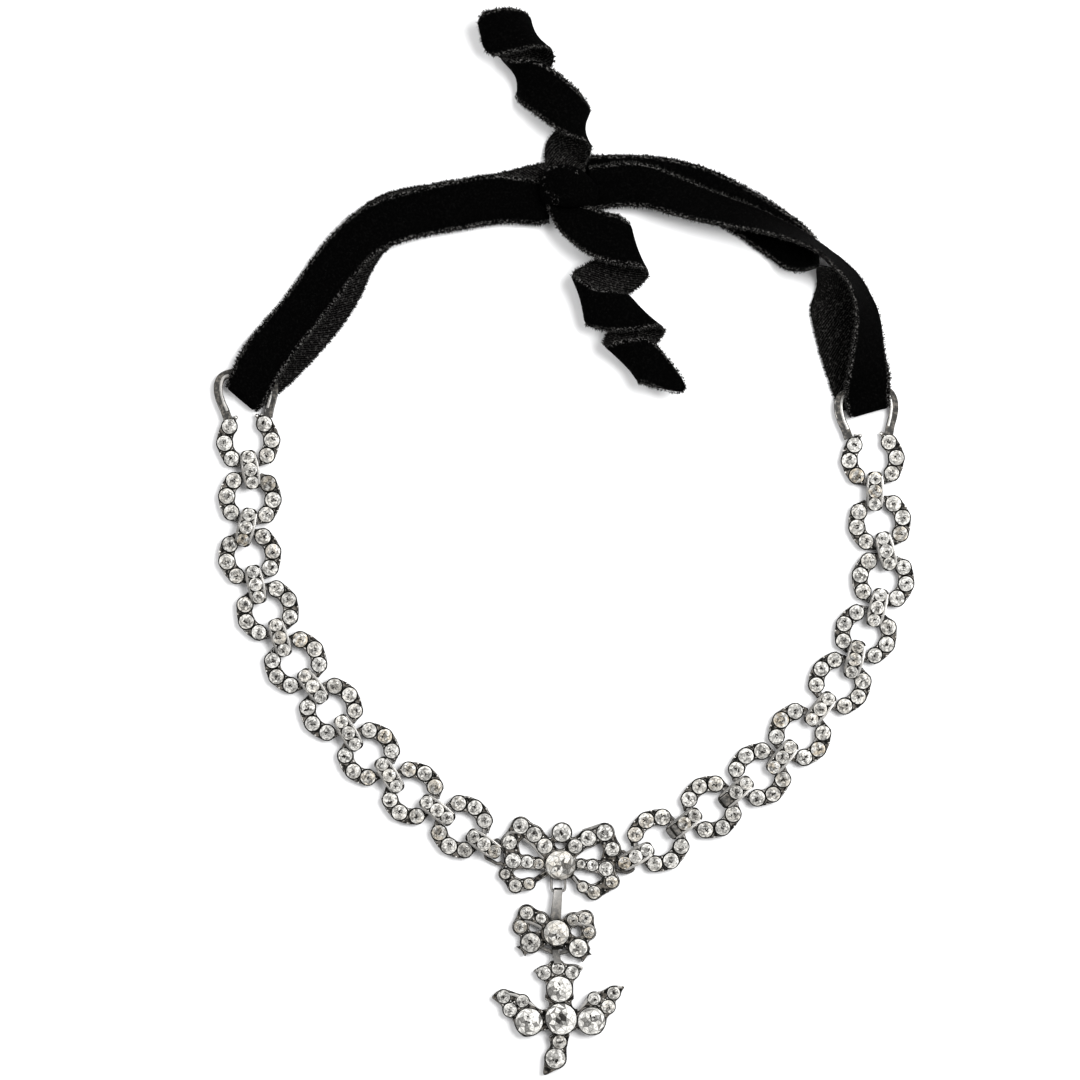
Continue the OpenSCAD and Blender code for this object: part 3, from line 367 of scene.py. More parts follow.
# Materials
class Shader:
    """A principled material, with short calls for the nodes that feed it."""

    def __init__(self, name):
        self.material = bpy.data.materials.new(name)
        self.material.use_nodes = True
        self.nodes, self.links = self.material.node_tree.nodes, self.material.node_tree.links
        self.nodes.clear()
        out = self.nodes.new("ShaderNodeOutputMaterial")
        self.bsdf = self.nodes.new("ShaderNodeBsdfPrincipled")
        self.links.new(self.bsdf.outputs[0], out.inputs[0])
        self.place = self.nodes.new("ShaderNodeTexCoord").outputs["Object"]

    def give(self, socket, value):
        """Set a number or an RGB colour on a socket, or link another socket to it."""
        if isinstance(value, tuple):
            socket.default_value = (*value, 1)
        elif isinstance(value, (int, float)):
            socket.default_value = value
        else:
            self.links.new(value, socket)

    def fill(self, node, **values):
        for key, value in values.items():
            self.give(node.inputs[key.replace("_", " ")], value)

    def surface(self, **values):
        self.fill(self.bsdf, **values)

    def attribute(self, name):
        n = self.nodes.new("ShaderNodeAttribute")
        n.attribute_name = name
        return n.outputs["Fac"]

    def noise(self, scale, detail=3, rough=0.55):
        n = self.nodes.new("ShaderNodeTexNoise")
        self.fill(n, Scale=scale, Detail=detail, Roughness=rough, Vector=self.place)
        return n.outputs["Fac"]

    def mask(self, source, lo, hi, up=True):
        """A smooth step from 0 at lo to 1 at hi, or the other way down."""
        n = self.nodes.new("ShaderNodeMapRange")
        n.interpolation_type = "SMOOTHSTEP"
        first, last = (0, 1) if up else (1, 0)
        self.fill(n, Value=source, From_Min=lo, From_Max=hi, To_Min=first, To_Max=last)
        return n.outputs["Result"]

    def math(self, operation, *values, clamp=False):
        n = self.nodes.new("ShaderNodeMath")
        n.operation = operation
        n.use_clamp = clamp
        for socket, value in zip(n.inputs, values):
            self.give(socket, value)
        return n.outputs[0]

    def times(self, a, b, clamp=False):
        return self.math("MULTIPLY", a, b, clamp=clamp)

    def ramp(self, a, slope, offset, clamp=False):
        return self.math("MULTIPLY_ADD", a, slope, offset, clamp=clamp)

    def mix(self, factor, a, b):
        n = self.nodes.new("ShaderNodeMix")
        n.data_type = "RGBA"
        for key, value in ((0, factor), (6, a), (7, b)):
            self.give(n.inputs[key], value)
        return n.outputs[2]

    def bump(self, height, strength, distance):
        n = self.nodes.new("ShaderNodeBump")
        self.fill(n, Height=height, Strength=strength, Distance=distance)
        self.surface(Normal=n.outputs[0])


def silver_material():
    """Dark old silver: edge is the distance from the rim, with a thin band just inside it painted bright as a
    highlight of the rim catching light; seat is the distance from a stone, with the metal close to it painted
    black as the shade in the gap; wear is the bare metal, and also carries the painted highlights of some
    wires.
    """
    s = Shader("old_silver")
    edge, seat, wear = s.attribute("edge"), s.attribute("seat"), s.attribute("wear")
    blotch, fine = s.noise(1100, 4), s.noise(5200, 3, 0.6)
    # A thin band just inside the outline is painted bright: a painted highlight of the rim catching light.
    rim_highlight = s.times(s.mask(edge, 0.09, 0.13), s.mask(edge, 0.16, 0.24, False))
    rim_highlight = s.times(rim_highlight, s.ramp(s.mask(s.noise(420, 2), 0.5, 0.62), 0.6, 0.02))
    bezel = s.times(s.mask(seat, 0.17, 0.2), s.mask(seat, 0.22, 0.3, False))
    bezel = s.times(bezel, s.ramp(s.mask(blotch, 0.4, 0.62), 0.25, 0))
    # Bare worn metal and the painted rim highlight together make the metal bright and metallic.
    wear_and_highlight = s.math("MAXIMUM", s.math("MAXIMUM", rim_highlight, bezel), wear)
    wear_and_highlight = s.math("ADD", wear_and_highlight, s.times(s.mask(fine, 0.6, 0.75), 0.08), clamp=True)
    dark = s.mix(s.mask(blotch, 0.46, 0.62), (0.002, 0.002, 0.0015), (0.085, 0.076, 0.065))
    colour = s.mix(wear_and_highlight, dark, (0.62, 0.605, 0.58))
    # Painted shade: close to a stone's edge the metal is painted near black, for the shadowed gap round the
    # stone; strips given seat 0 are near black all over.
    colour = s.mix(s.mask(seat, 0.1, 0.24, False), colour, (0.004, 0.004, 0.003))
    s.surface(Base_Color=colour, Metallic=s.ramp(wear_and_highlight, 1.1, 0.04, True), Roughness=s.ramp(wear_and_highlight, -0.16, 0.46))
    s.surface(Specular_IOR_Level=0.06)
    s.bump(s.math("ADD", fine, blotch), 0.35, 0.00008)
    return s.material


def paste_material(name, cell, depth):
    """Cut glass on foil, drawn opaque with its light painted in: tone is a facet's painted brightness,
    standing in for what the facet reflects; seat a stone's dullness, wear its warm tint.
    """
    s = Shader(name)
    tone, warm, dull = s.attribute("tone"), s.attribute("wear"), s.attribute("seat")
    # Voronoi cells break the facets into patches of painted sparkle.
    cells = s.nodes.new("ShaderNodeTexVoronoi")
    s.fill(cells, Scale=cell, Vector=s.place)
    shard = s.ramp(s.mask(cells.outputs["Color"], 0.1, 0.9), depth, 1.12 - depth)
    level = s.times(s.times(tone, shard, True), s.ramp(dull, -0.5, 1))
    patchy = s.times(warm, s.mask(s.noise(850), 0.38, 0.58))
    tint = s.mix(patchy, (0.77, 0.758, 0.722), (0.62, 0.54, 0.42))
    level = s.times(level, s.ramp(s.mask(s.noise(1300), 0.36, 0.56), 0.26, 0.76))
    # Painted shade: darker lines along the facet edges.
    level = s.times(level, s.ramp(s.mask(s.attribute("edge"), 0.04, 0.3), 0.65, 0.35))
    colour = s.mix(level, (0.012, 0.011, 0.01), tint)
    s.surface(Base_Color=colour, Roughness=0.07, IOR=1.5, Specular_IOR_Level=0.2)
    return s.material


def velvet_material():
    """Pile, or woven ribs where wear is set; edge marks the selvedges, which are painted lighter as a
    highlight, and seat is the run in millimetres.
    """
    s = Shader("velvet")
    across, along, mark = s.attribute("edge"), s.attribute("seat"), s.attribute("wear")
    woven = s.mask(mark, 0.2, 0.4)
    pile, crush, flake = s.noise(4200, 2, 0.7), s.noise(260, 3, 0.5), s.noise(2500, 2, 0.65)
    # Painted highlight: near the selvedges the pile is painted lighter in flecks, for the edges catching the
    # light.
    hair = s.times(s.ramp(s.mask(across, 0.8, 0.93), 0.8, 0.012), s.mask(flake, 0.5, 0.66))
    velvet = s.mix(hair, (0.0003, 0.0003, 0.0003), (0.1, 0.097, 0.093))
    slant = s.ramp(mark, -9.2, along)
    rib = s.mask(s.math("SINE", s.times(slant, 10.3)), -0.1, 0.7)
    weave = s.times(rib, s.mask(pile, 0.38, 0.58))
    weave = s.ramp(weave, 0.24, s.times(s.mask(flake, 0.54, 0.68), 0.5), True)
    back = s.mix(weave, (0.0004, 0.0004, 0.0004), (0.06, 0.058, 0.055))
    s.surface(Base_Color=s.mix(woven, velvet, back), Roughness=0.9, Specular_IOR_Level=0.01)
    s.surface(Sheen_Weight=0.002, Sheen_Roughness=0.35, Sheen_Tint=(0.5, 0.49, 0.48))
    height = s.math("ADD", pile, s.times(s.times(rib, woven), 0.8))
    s.bump(s.math("ADD", height, crush), 0.6, 0.0002)
    return s.material


def hair_material():
    s = Shader("velvet_hair")
    colour = s.mix(s.mask(s.noise(1500, 2), 0.35, 0.7), (0.001, 0.001, 0.001), (0.035, 0.034, 0.032))
    s.surface(Base_Color=colour, Roughness=0.85, Specular_IOR_Level=0.1)
    return s.material


def floor_material():
    s = Shader("pale_table")
    colour = s.mix(s.noise(40), (0.86, 0.86, 0.865), (0.885, 0.885, 0.89))
    s.surface(Base_Color=colour, Roughness=0.75, Specular_IOR_Level=0.2)
    return s.material


SILVER = silver_material()
PASTE = paste_material("paste_stone", 1500, 0.72)
PASTE_LARGE = paste_material("paste_large", 1100, 0.14)
VELVET = velvet_material()
HAIR = hair_material()

MAIN_RADIUS = 2.1
# Painted brightness of a small stone's facets, standing in for what each facet reflects, from the culet out:
# lowest and highest tone, share of odd facets and their tone
SMALL_TONES = [
    (0.3, 0.7, 0.2, 0.08), (0.4, 0.85, 0.18, 0.14), (0.5, 0.95, 0.2, 0.2), (0.75, 1.05, 0.28, 0.36),
    (0.75, 1.05, 0.26, 0.32), (0.85, 1.05, 0.12, 0.35), (0.9, 1.05, 0.1, 0.4), (0.85, 1.05, 0.12, 0.35),
]


def ring_of(cx, cy, z, r, n, phase, wobble, rg):
    a = phase + np.arange(n) * 2 * math.pi / n
    rr = r * (1 + rg.uniform(-wobble, wobble, n))
    return np.stack([cx + rr * np.cos(a), cy + rr * np.sin(a), np.full(n, z)], 1)


def add_stone(form, x, y, girdle, r, rise, foot, tint, seed, star=False):
    """A cut stone: table, crown facets, girdle, tapered base and culet marks; painted tones vary facet by
    facet, standing in for the light each facet reflects.
    """
    rg = np.random.default_rng(seed)
    warm, dull = tint
    turn = rg.uniform(0, math.pi)
    eighth = math.pi / 4
    wobble = 0.11 if r > MAIN_RADIUS else 0.05
    # share of the radius, share of the rise, corners, phase and wobble
    rings = [(0.36 if star else 0.26, 1.0, 8, 0, wobble), (0.54, 0.98, 8, 0.5, wobble),
             (0.8, 0.7, 8, 0, wobble), (1.0, 0.38, 16, 0.25, 0.015)]
    v = [np.array([[x + rg.uniform(-0.08, 0.08) * r, y + rg.uniform(-0.08, 0.08) * r, girdle + rise]])]
    for share, h, n, phase, w in rings:
        v.append(ring_of(x, y, girdle + h * rise, share * r, n, turn + phase * eighth, w, rg))
    v.append(ring_of(x, y, girdle - 0.12, r * 0.99, 16, turn + 0.25 * eighth, 0, rg))
    v.append(ring_of(x, y, foot, r * 0.62, 8, turn, 0, rg))
    s1, s2, s3, s4, s5, s6 = np.cumsum([len(q) for q in v])[:6].tolist()
    v = np.concatenate(v)
    slope = rg.normal(0, 0.035, 2)

    def tilt(p):
        p[:, 2] += (p[:, 0] - x) * slope[0] + (p[:, 1] - y) * slope[1]

    tilt(v)
    f, tone = [], []
    inner = []

    def facet(corners, low, high, odd=0, odd_tone=0.5):
        value = odd_tone * rg.uniform(0.8, 1.2) if rg.random() < odd else rg.uniform(low, high)
        m = len(v) + len(inner)
        inner.append(v[list(corners)].mean(0))
        for i in range(len(corners)):
            f.append([corners[i - 1], corners[i], m])
            tone.append(value)

    for k in range(8):
        n = (k + 1) % 8
        g0, g1, g2 = s4 + 2 * k, s4 + 2 * k + 1, s4 + (2 * k + 2) % 16
        tones = SMALL_TONES
        if r > MAIN_RADIUS:
            # Painted facet brightness of a large stone; a star stone gets a dark middle.
            a, b, c = rg.choice([0.22, 0.55, 0.85, 1.08, 1.08], 3)
            core = rg.choice([0.02, 0.08, 0.3]) if star else rg.choice([0.15, 0.55, 0.9, 1.05])
            tones = [(core * 0.9, core), (core * 0.7, 0.35 if star else core),
                     (a * (0.5 if star else 0.9), a), (a * 0.85, a),
                     (b * 0.9, b), (b * 0.7, b * 0.9), (c * 0.9, c), (c * 0.6, c * 0.9)]
        for corners, shades in zip((
            (0, s1 + k, s1 + n), (s1 + k, s2 + k, s1 + n), (s1 + n, s2 + k, s2 + n), (s2 + k, s3 + n, s2 + n),
            (s2 + k, s3 + k, s3 + n), (s3 + k, g0, g1), (s3 + k, g1, s3 + n), (s3 + n, g1, g2),
        ), tones):
            facet(corners, *shades)
    attr = np.tile([0, dull, warm], (len(v) + len(inner), 1))
    attr[len(v):, 0] = 1
    v = np.concatenate([v, inner])
    for k in range(16):
        n = (k + 1) % 16
        f.append([s4 + k, s5 + k, s5 + n, s4 + n])
    for k in range(8):
        n = (k + 1) % 8
        f.append([s5 + 2 * k, s6 + k, s5 + 2 * k + 1])
        f.append([s5 + 2 * k + 1, s6 + k, s6 + n])
        f.append([s5 + 2 * k + 1, s6 + n, s5 + (2 * k + 2) % 16])
    f.append([s6 + k for k in range(7, -1, -1)])
    tone += [0.35] * (len(f) - len(tone))
    form.add(v, f, attr, tone)
    # dark marks of the culet seen through the table, a little to one side: painted dark reflections
    lean, reach = rg.uniform(0, 2 * math.pi), rg.uniform(0, 0.3) * r
    for _ in range(rg.integers(3, 6)):
        a, d, q = rg.uniform(0, 2 * math.pi), rg.uniform(0.05, 0.3) * r, rg.uniform(0.07, 0.12) * min(r, 1.8)
        turned, drawn = rg.uniform(0, math.pi), rg.choice([1.0, 1.2, 2.2])
        cx = x + d * math.cos(a) + reach * math.cos(lean)
        cy = y + d * math.sin(a) + reach * math.sin(lean)
        sin, cos = math.sin(turned), math.cos(turned)
        dot = []
        for b in np.arange(6) * math.pi / 3:
            u, w = q * drawn * math.cos(b) * rg.uniform(0.8, 1.2), q * math.sin(b) * rg.uniform(0.8, 1.2)
            dot.append([cx + u * cos - w * sin, cy + u * sin + w * cos, girdle + rise + 0.012])
        dot = np.array(dot)
        tilt(dot)
        form.add(dot, [[0, 1, 2, 3, 4, 5]], (1, dull, warm), [-0.05])


def tint_of(seed):
    """Warmth and dullness of a stone that isn't in a table of tints."""
    rg = np.random.default_rng(seed + 5000)
    u = rg.random()
    warm = rg.uniform(0.45, 1.0) if u < 0.2 else rg.uniform(0, 0.3)
    dull = rg.uniform(0.25, 0.6) if rg.random() < 0.08 else 0
    return warm, dull


# Warmth and dullness of stones that differ: by link seed and seat, or by seat
RING_TINTS = {
    (101, 2): (0.7, 0.85), (108, 5): (0.2, 0.6), (105, 2): (0.3, 0.5), (203, 0): (0.1, 0),
    (205, 1): (1, 0.1), (208, 2): (0.1, 0), (100, 3): (0.1, 0),
}
BAR_TINTS = {
    (158, 0): (0.6, 0.5), (258, 0): (1, 0.35), (156, 1): (0.3, 0.2), (257, 1): (0.2, 0.45),
    (257, 0): (0.7, 0.45), (151, 0): (0.9, 0.75), (250, 1): (0.8, 0.1), (255, 1): (0.2, 0.35),
    (253, 2): (0.4, 0.6), (253, 1): (0.5, 0.4),
}
BOW_TINTS = {
    1: (0, 0), 2: (0.2, 0.1), 3: (0.1, 0.3), 4: (0, 0), 5: (0.1, 0), 6: (0, 0), 7: (0, 0), 8: (0.5, 0.1),
    9: (0.2, 0.45), 10: (0.25, 0.3), 11: (0.5, 0.1), 12: (0.15, 0.25), 13: (0.1, 0), 14: (0, 0),
    15: (0.1, 0.1), 16: (0.2, 0.3), 17: (0, 0), 18: (0.1, 0), 19: (0.7, 0.05), 20: (0.55, 0.1),
    21: (0.4, 0.1),
}
DROP_TINTS = {2: (0.25, 0.1), 5: (0.45, 0.25), 6: (0.3, 0.35), 7: (0.8, 0.1)}
BARE_PLATES = {"link_r7": "empty", "link_r8": "strap"}


def ring_link(node, pose, stirrup, stones, seed):
    """A ring of two crescents with three seats each; stirrup is its sideways shift and height, or None."""
    rg = np.random.default_rng(seed)
    form = Form()
    seats = []
    for side in (0, 180):
        for k in (-1, 0, 1):
            turn = side + k * RING_STEP + rg.uniform(-1.5, 1.5)
            x, y = polar(RING_ORBIT + rg.uniform(-0.08, 0.08), turn)
            seats.append((x, y, RING_STONE * rg.uniform(0.95, 1.03)))

    def outline(x, y):
        rad, ang = np.hypot(x, y), np.degrees(np.arctan2(y, np.abs(x)))
        past_end = (np.abs(ang) - RING_STEP - 6) * rad * 0.0174  # degrees to a length along the ring
        d = np.maximum(np.abs(rad - (RING_INNER + RING_OUTER) / 2) - (RING_OUTER - RING_INNER) / 2, past_end)
        for s in seats:
            d = melt(d, disc(x, y, s, s[2] + 0.2), 0.25)
        for side in (-1, 1):
            d = melt(d, polygon(x, y, [(side * p[0], -p[1]) for p in TIP]), 0.3)
            d = melt(d, polygon(x, y, [(side * p[0], p[1]) for p in (OPEN_TIP if stirrup else TIP)]), 0.3)
        return d

    def top(x, y, inward, seat):
        z = RING_TOP + 0.1 * np.exp(-((inward - 0.12) / 0.1) ** 2) - 0.14 * step01(0.25, 0.5, inward)
        z = z + 0.12 * np.exp(-((seat - 0.17) / 0.09) ** 2) - 0.35 * step01(0.07, -0.1, seat)
        z = z - 0.12 * step01(0.1, 0, inward)
        return z - 0.5 * step01(3.9, 5.3, np.abs(y)) * (np.abs(x) < 3.1)

    relief(form, outline, top, BACK, (-6.4, -5.6, 6.4, 5.6), seats, pose)
    for side in ((-90,) if stirrup else (-90, 90)):
        arc = [polar(BAR_REACH, side + t) for t in np.linspace(-32, 32, 9)]
        strip(form, level(arc, BAR_Z), 0.56, 0.82, pose, 0.28)
    for side in (0, 180):
        for k in (-1, 1):
            for reach, size in ((RING_OUTER - 0.12, 0.27), (RING_INNER + 0.32, 0.2)):
                x, y = polar(reach, side + k * RING_STEP / 2 + rg.uniform(-2, 2))
                grain(form, x, y, RING_TOP - 0.12, size * rg.uniform(0.8, 1.2), pose, rg.uniform(0.5, 1))
        for k in (-1, 1):
            grain(form, *polar(5.2, side + k * (RING_STEP + 17)), RING_TOP - 0.35, 0.22, pose, 0.7)
    if stirrup:
        shift, height = stirrup
        pts = [(-p[0], p[1]) for p in STIRRUP] + [(-2, height), (2, height)] + STIRRUP[::-1]
        line = smooth([(p[0] + shift, p[1], 1.54) for p in pts], 6)
        strip(form, line, 0.88, 0.66, pose, 0.05, 0.2)
        inner = smooth([(p[0] * 0.9 + shift, p[1] - (0.55 if p[1] > 13.4 else 0), 1.82) for p in pts], 6)
        strip(form, inner[6:-6], 0.045, 0.14, pose, 0.5, 0.3)
        for side in (-1, 1):
            grain(form, side * 2.1, 4.95, 1.3, 0.46, pose, 0.85)
            grain(form, side * 3.1, 5.15, 1.4, 0.3, pose, 0.7)
    form.metal(node)
    for i, s in enumerate(seats):
        x, y = local(pose, s[0], s[1])
        tint = RING_TINTS.get((seed, i), tint_of(seed * 10 + i))
        girdle, r = RING_TOP - 0.1, s[2] + 0.03
        add_stone(stones, x, y, girdle, r, RING_STONE_RISE, RING_STONE_FOOT, tint, seed * 10 + i)


def bar_pose(upper, lower):
    a, b = local(upper, 0, -BAR_REACH), local(lower, 0, BAR_REACH)
    return (a[0] + b[0]) / 2, (a[1] + b[1]) / 2, math.degrees(math.atan2(b[0] - a[0], a[1] - b[1]))


def bar_link(node, pose, stones, seed, plate):
    """An arched bar over two rings; plate is what shows where the lowest stone is missing, or None."""
    rg = np.random.default_rng(seed)
    form = Form()
    seats = [(0, k * BAR_SEAT_STEP, (1.3 if k == 0 else 1.22) * rg.uniform(0.97, 1.0))
             for k in ((0, 1) if plate else (-1, 0, 1))]

    def outline(x, y):
        across = np.abs(x) - BAR_WIDE - 0.26 * (1 - (y / 3.9) ** 2)
        beyond = np.abs(y) - BAR_LONG
        outside = np.hypot(np.maximum(across, 0), np.maximum(beyond, 0))
        return outside + np.minimum(np.maximum(across, beyond), 0) - BAR_CORNER

    def crown(y):
        return BAR_TOP - 0.5 * (np.abs(y) / 4) ** 2

    def top(x, y, inward, seat):
        z = crown(y) - 0.1 + 0.08 * np.exp(-((seat - 0.14) / 0.09) ** 2) - 0.3 * step01(0.06, -0.1, seat)
        side = step01(1.3, 1.75, np.abs(x)) * step01(3.8, 2.6, np.abs(y))
        return z - 0.4 * side - 0.12 * step01(0.12, 0, inward)

    def along(ys, lift):
        return [(0, y, crown(y) + lift) for y in ys]

    relief(form, outline, top, BAR_BOTTOM, (-1.8, -4.1, 1.8, 4.1), seats, pose, 0.02)
    # Side rails: the rail on the +x side, towards the key light, gets more wear colour than the other, a
    # painted highlight.
    for side in (-1, 1):
        rail = []
        for t in np.linspace(-1, 1, 9):
            rail.append((side * (1.26 + 0.27 * (1 - t * t)), 3.05 * t, crown(3.05 * t) - 0.14))
        strip(form, rail, 0.07, 0.32, pose, 0.38 + 0.16 * side, 0.3)
    # the strap: two ends that go down past the rings' bars, and the part below
    for k in (-1, 1):
        strip(form, [(-0.8, k * 3.07, 1.2), (0.8, k * 3.07, 1.2)], 0.2, 1.7, pose, 0.35, 0.1)
        for side in (-1, 1):
            size = 0.17 * rg.uniform(0.8, 1.2)
            grain(form, side * 1.22, k * 1.36, crown(1.36) - 0.12, size, pose, rg.uniform(0.5, 1))
    strip(form, [(0, y, 0.22) for y in (-3.2, -1, 1, 3.2)], 0.78, 0.38, pose, 0.2, 0.2)
    if plate:
        strip(form, along((-1.3, -2.0, -2.8, -3.62), 0), 1.24, 0.16, pose, 0, 0.2, 0)
    if plate == "strap":
        rows = np.array(along((-1.5, -2.0, -2.5, -3.1, -3.8), 0.14))
        rows[:, 2] += (0, 0.08, 0.02, 0.06, -0.2)
        strip(form, rows, 1.12, 0.3, pose, (0.02, 0.16, 0.04, 0.16, 0.1), 0.2)
        strip(form, [(x, -2.72, crown(2.72) + 0.32) for x in (-1.1, 0, 1.1)], 0.09, 0.06, pose, 0, 0.2, 0)
    elif plate == "empty":
        strip(form, along((-1.5, -2.1, -2.8, -3.4), 0.04), 1.04, 0.16, pose, (0.02, 0.05, 0.1, 0.03), 0.2)
    form.metal(node)
    for i, s in enumerate(seats):
        x, y = local(pose, s[0], s[1])
        tint = BAR_TINTS.get((seed, i), tint_of(seed * 10 + i))
        girdle, r = crown(s[1]) - 0.08, s[2] + 0.06
        add_stone(stones, x, y, girdle, r, BAR_STONE_RISE, BAR_STONE_FOOT, tint, seed * 10 + i)


# Bow, drop and dove
def seat_field(at, seats, limbs, wall, mains, extra=()):
    """Seats moved to their place, the outline round them and the height of the metal; the first are mains."""
    seats = [(at[0] + s[0], at[1] + s[1], s[2]) for s in seats]

    def outline(x, y):
        d = np.full(x.shape, 9.0)
        for a, b, share in limbs:
            r = [share * (min(seats[i][2], 1.2 * seats[j][2]) + wall) * 0.95 for i, j in ((a, b), (b, a))]
            d = melt(d, capsule(x, y, seats[a], seats[b], *r), 0.5)
        for s in seats:
            d = melt(d, disc(x, y, s, s[2] + wall), 0.4)
        for pts in extra:
            d = melt(d, polygon(x, y, pts), 0.35)
        return d

    def top(x, y, inward, seat):
        z = np.full(x.shape, FIELD_TOP)
        for s in seats[:mains]:
            z = z + (MAIN_TOP - FIELD_TOP) * step01(0.4, 0.1, disc(x, y, s, s[2] + wall))
        z = z + 0.1 * np.exp(-((inward - 0.12) / 0.1) ** 2) - 0.14 * step01(0.25, 0.5, inward)
        z = z + 0.13 * np.exp(-((seat - 0.17) / 0.1) ** 2) - 0.35 * step01(0.07, -0.1, seat)
        return z - 0.15 * step01(0.1, 0, inward)

    return seats, outline, top


def field_stones(node, seats, first, tints, seed, warmth=1):
    stones = Form()
    for i, s in enumerate(seats[first:], first):
        warm, dull = tints.get(i, tint_of(seed + i))
        rise, tint = 0.368 * s[2] + 0.1, (warm * warmth, dull)
        add_stone(stones, *s[:2], FIELD_GIRDLE, s[2] + 0.12, rise, STONE_FOOT, tint, seed + i)
    stones.piece(node + "_cut", PASTE, "paste", [node])


def main_stone(node, seat, wider, rise, tint, seed, star=False):
    stone = Form()
    add_stone(stone, *seat[:2], MAIN_GIRDLE, seat[2] + wider, rise, STONE_FOOT, tint, seed, star)
    stone.piece(node + "_cut", PASTE_LARGE, "paste", [node])


def grains_between(form, seats, limbs, outline, seed):
    """Beads on both sides of the gap between two stones, where there is metal."""
    rg = np.random.default_rng(seed)
    for a, b, *_ in limbs:
        pa, pb = np.array(seats[a][:2]), np.array(seats[b][:2])
        d = pb - pa
        dist = np.linalg.norm(d)
        d /= dist
        n = np.array([-d[1], d[0]])
        mid = pa + d * (seats[a][2] + (dist - seats[b][2])) / 2
        reach = 0.72 * min(seats[a][2], seats[b][2])
        for side in (-1, 1):
            p = mid + side * n * reach
            if outline(p[:1], p[1:])[0] < -0.12:
                grain(form, p[0], p[1], FIELD_TOP - 0.12, rg.uniform(0.15, 0.26), wear=rg.uniform(0.4, 1))


def box_of(seats, extra, pad=1.2):
    pts = [(s[0] - s[2], s[1] - s[2]) for s in seats] + [(s[0] + s[2], s[1] + s[2]) for s in seats]
    for e in extra:
        pts += [tuple(p[:2]) for p in e]
    pts = np.array(pts)
    return (*(pts.min(0) - pad), *(pts.max(0) + pad))


def build_bow():
    form = Form()
    seats, outline, top = seat_field(BOW_AT, BOW, BOW_LIMBS, 0.36, 1)
    relief(form, outline, top, BACK, box_of(seats, []), seats)
    grains_between(form, seats, BOW_LIMBS, outline, 21)
    # side eyes, round the straps of the last bars
    for bar, upper, lower, out in (
        (LEFT_LAST, [seats[5][:2], (-12.5, -60.4)], [(-13.7, -64.62), (-12.9, -64.6), (-12.1, -65.4)], -1),
        (RIGHT_LAST, [seats[15][:2], (10.9, -62.1)], [(11.6, -66.25), (10.7, -66.15), (9.9, -65.7)], 1),
    ):
        loop = ((-2, -2.9), (-2, -1.7), (0, -1.45), (2, -1.7), (2, -3.1))
        pts = upper + [local(bar, out * x, y) for x, y in loop] + lower
        strip(form, smooth(level(pts, BAR_Z), 5), 0.34, 0.82, wear=0.08)
    x0, x1, y0, y1 = -2.8, -0.1, -67.2, -70.15
    staple = [(x0, y0), (x0, y1 + 0.6), (x0 + 0.25, y1 + 0.12), (x0 + 0.7, y1),
              (x1 - 0.7, y1), (x1 - 0.25, y1 + 0.12), (x1, y1 + 0.6), (x1, y0)]
    strip(form, smooth(level(staple, 1.2), 4), 0.27, 0.58, wear=0.3)
    # painted highlights along some rims
    highlight_wires(form, [
        [(-12, -59.1), (-11, -58.4), (-9.6, -58.3)],
        [(-8.4, -59.7), (-6.6, -61), (-5.4, -62.6), (-4.5, -63.6)],
        [(1.5, -67.2), (2.6, -68.8), (3.9, -70), (5.4, -70.8)], [(3.4, -58), (5, -57.5), (7, -56.8)],
    ])
    form.metal("center_bow")
    field_stones("bow_stones", seats, 1, BOW_TINTS, 700)
    main_stone("bow_center_stone", seats[0], 0.24, 1.05, (0.35, 0.3), 790)


def highlight_wires(form, lines, wear=0.26):
    """Thin bright wires that lie just inside some of the edges: painted highlights of the rims catching
    light.
    """
    for pts in lines:
        strip(form, smooth(level(pts, WIRE_Z), 6), 0.05, 0.2, wear=wear)


def bail(form, x_top, x_end, y, half_top, half_end, wear):
    """A strap that hangs a piece: its front, its back and the fold over the wire, painted black as the shade
    in the gap there.
    """
    line = [(x_top + (x_end - x_top) * t, y[0] + (y[1] - y[0]) * t, 2.04 + 0.06 * math.sin(math.pi * t))
            for t in np.linspace(0, 1, 9)]
    half = np.linspace(half_top, half_end, 9)
    strip(form, line, half, 0.42, wear=np.linspace(*wear, 9))
    strip(form, level(line, 0.36), half, 0.38, wear=0.3)
    # Painted shade: the fold is black all over, for the dark gap where the strap goes over the wire.
    fold = [(x_top + side * (half_top - 0.02), y[0] + 0.05, 1.27) for side in (-1, 1)]
    strip(form, fold, 0.17, 2.1, wear=0, bevel=0.08, seat=0)


def build_drop():
    form = Form()
    extra = [closed(DROP_AT, c) for c in DROP_CLAWS]
    seats, outline, top = seat_field(DROP_AT, DROP, DROP_LIMBS, 0.4, 1, extra)
    relief(form, outline, top, BACK, box_of(seats, extra), seats)
    grains_between(form, seats, DROP_LIMBS, outline, 22)
    v_bar = [seats[4][:2], (DROP_AT[0], DROP_AT[1] - 4.4), seats[8][:2]]
    strip(form, level(v_bar, 1.18), 0.42, 0.72, wear=0.12)
    bail(form, -1.45, DROP_AT[0] - 0.25, (-69.75, -76.4), 0.86, 1.12, (0.5, 0.02))
    # painted highlights along some rims
    highlight_wires(form, [
        [(0.6, -76.9), (2.6, -76.7), (4.9, -77), (5.7, -77.7)],
        [(-8.2, -76.2), (-7, -76.4), (-5.4, -77.1), (-4.6, -77.7)], [(1, -75.2), (2.2, -74.6), (3.4, -74.3)],
    ])
    form.metal("bow_drop")
    field_stones("drop_stones", seats, 1, DROP_TINTS, 800)
    main_stone("drop_center_stone", seats[0], 0.1, 0.8, (0.35, 0.5), 891)


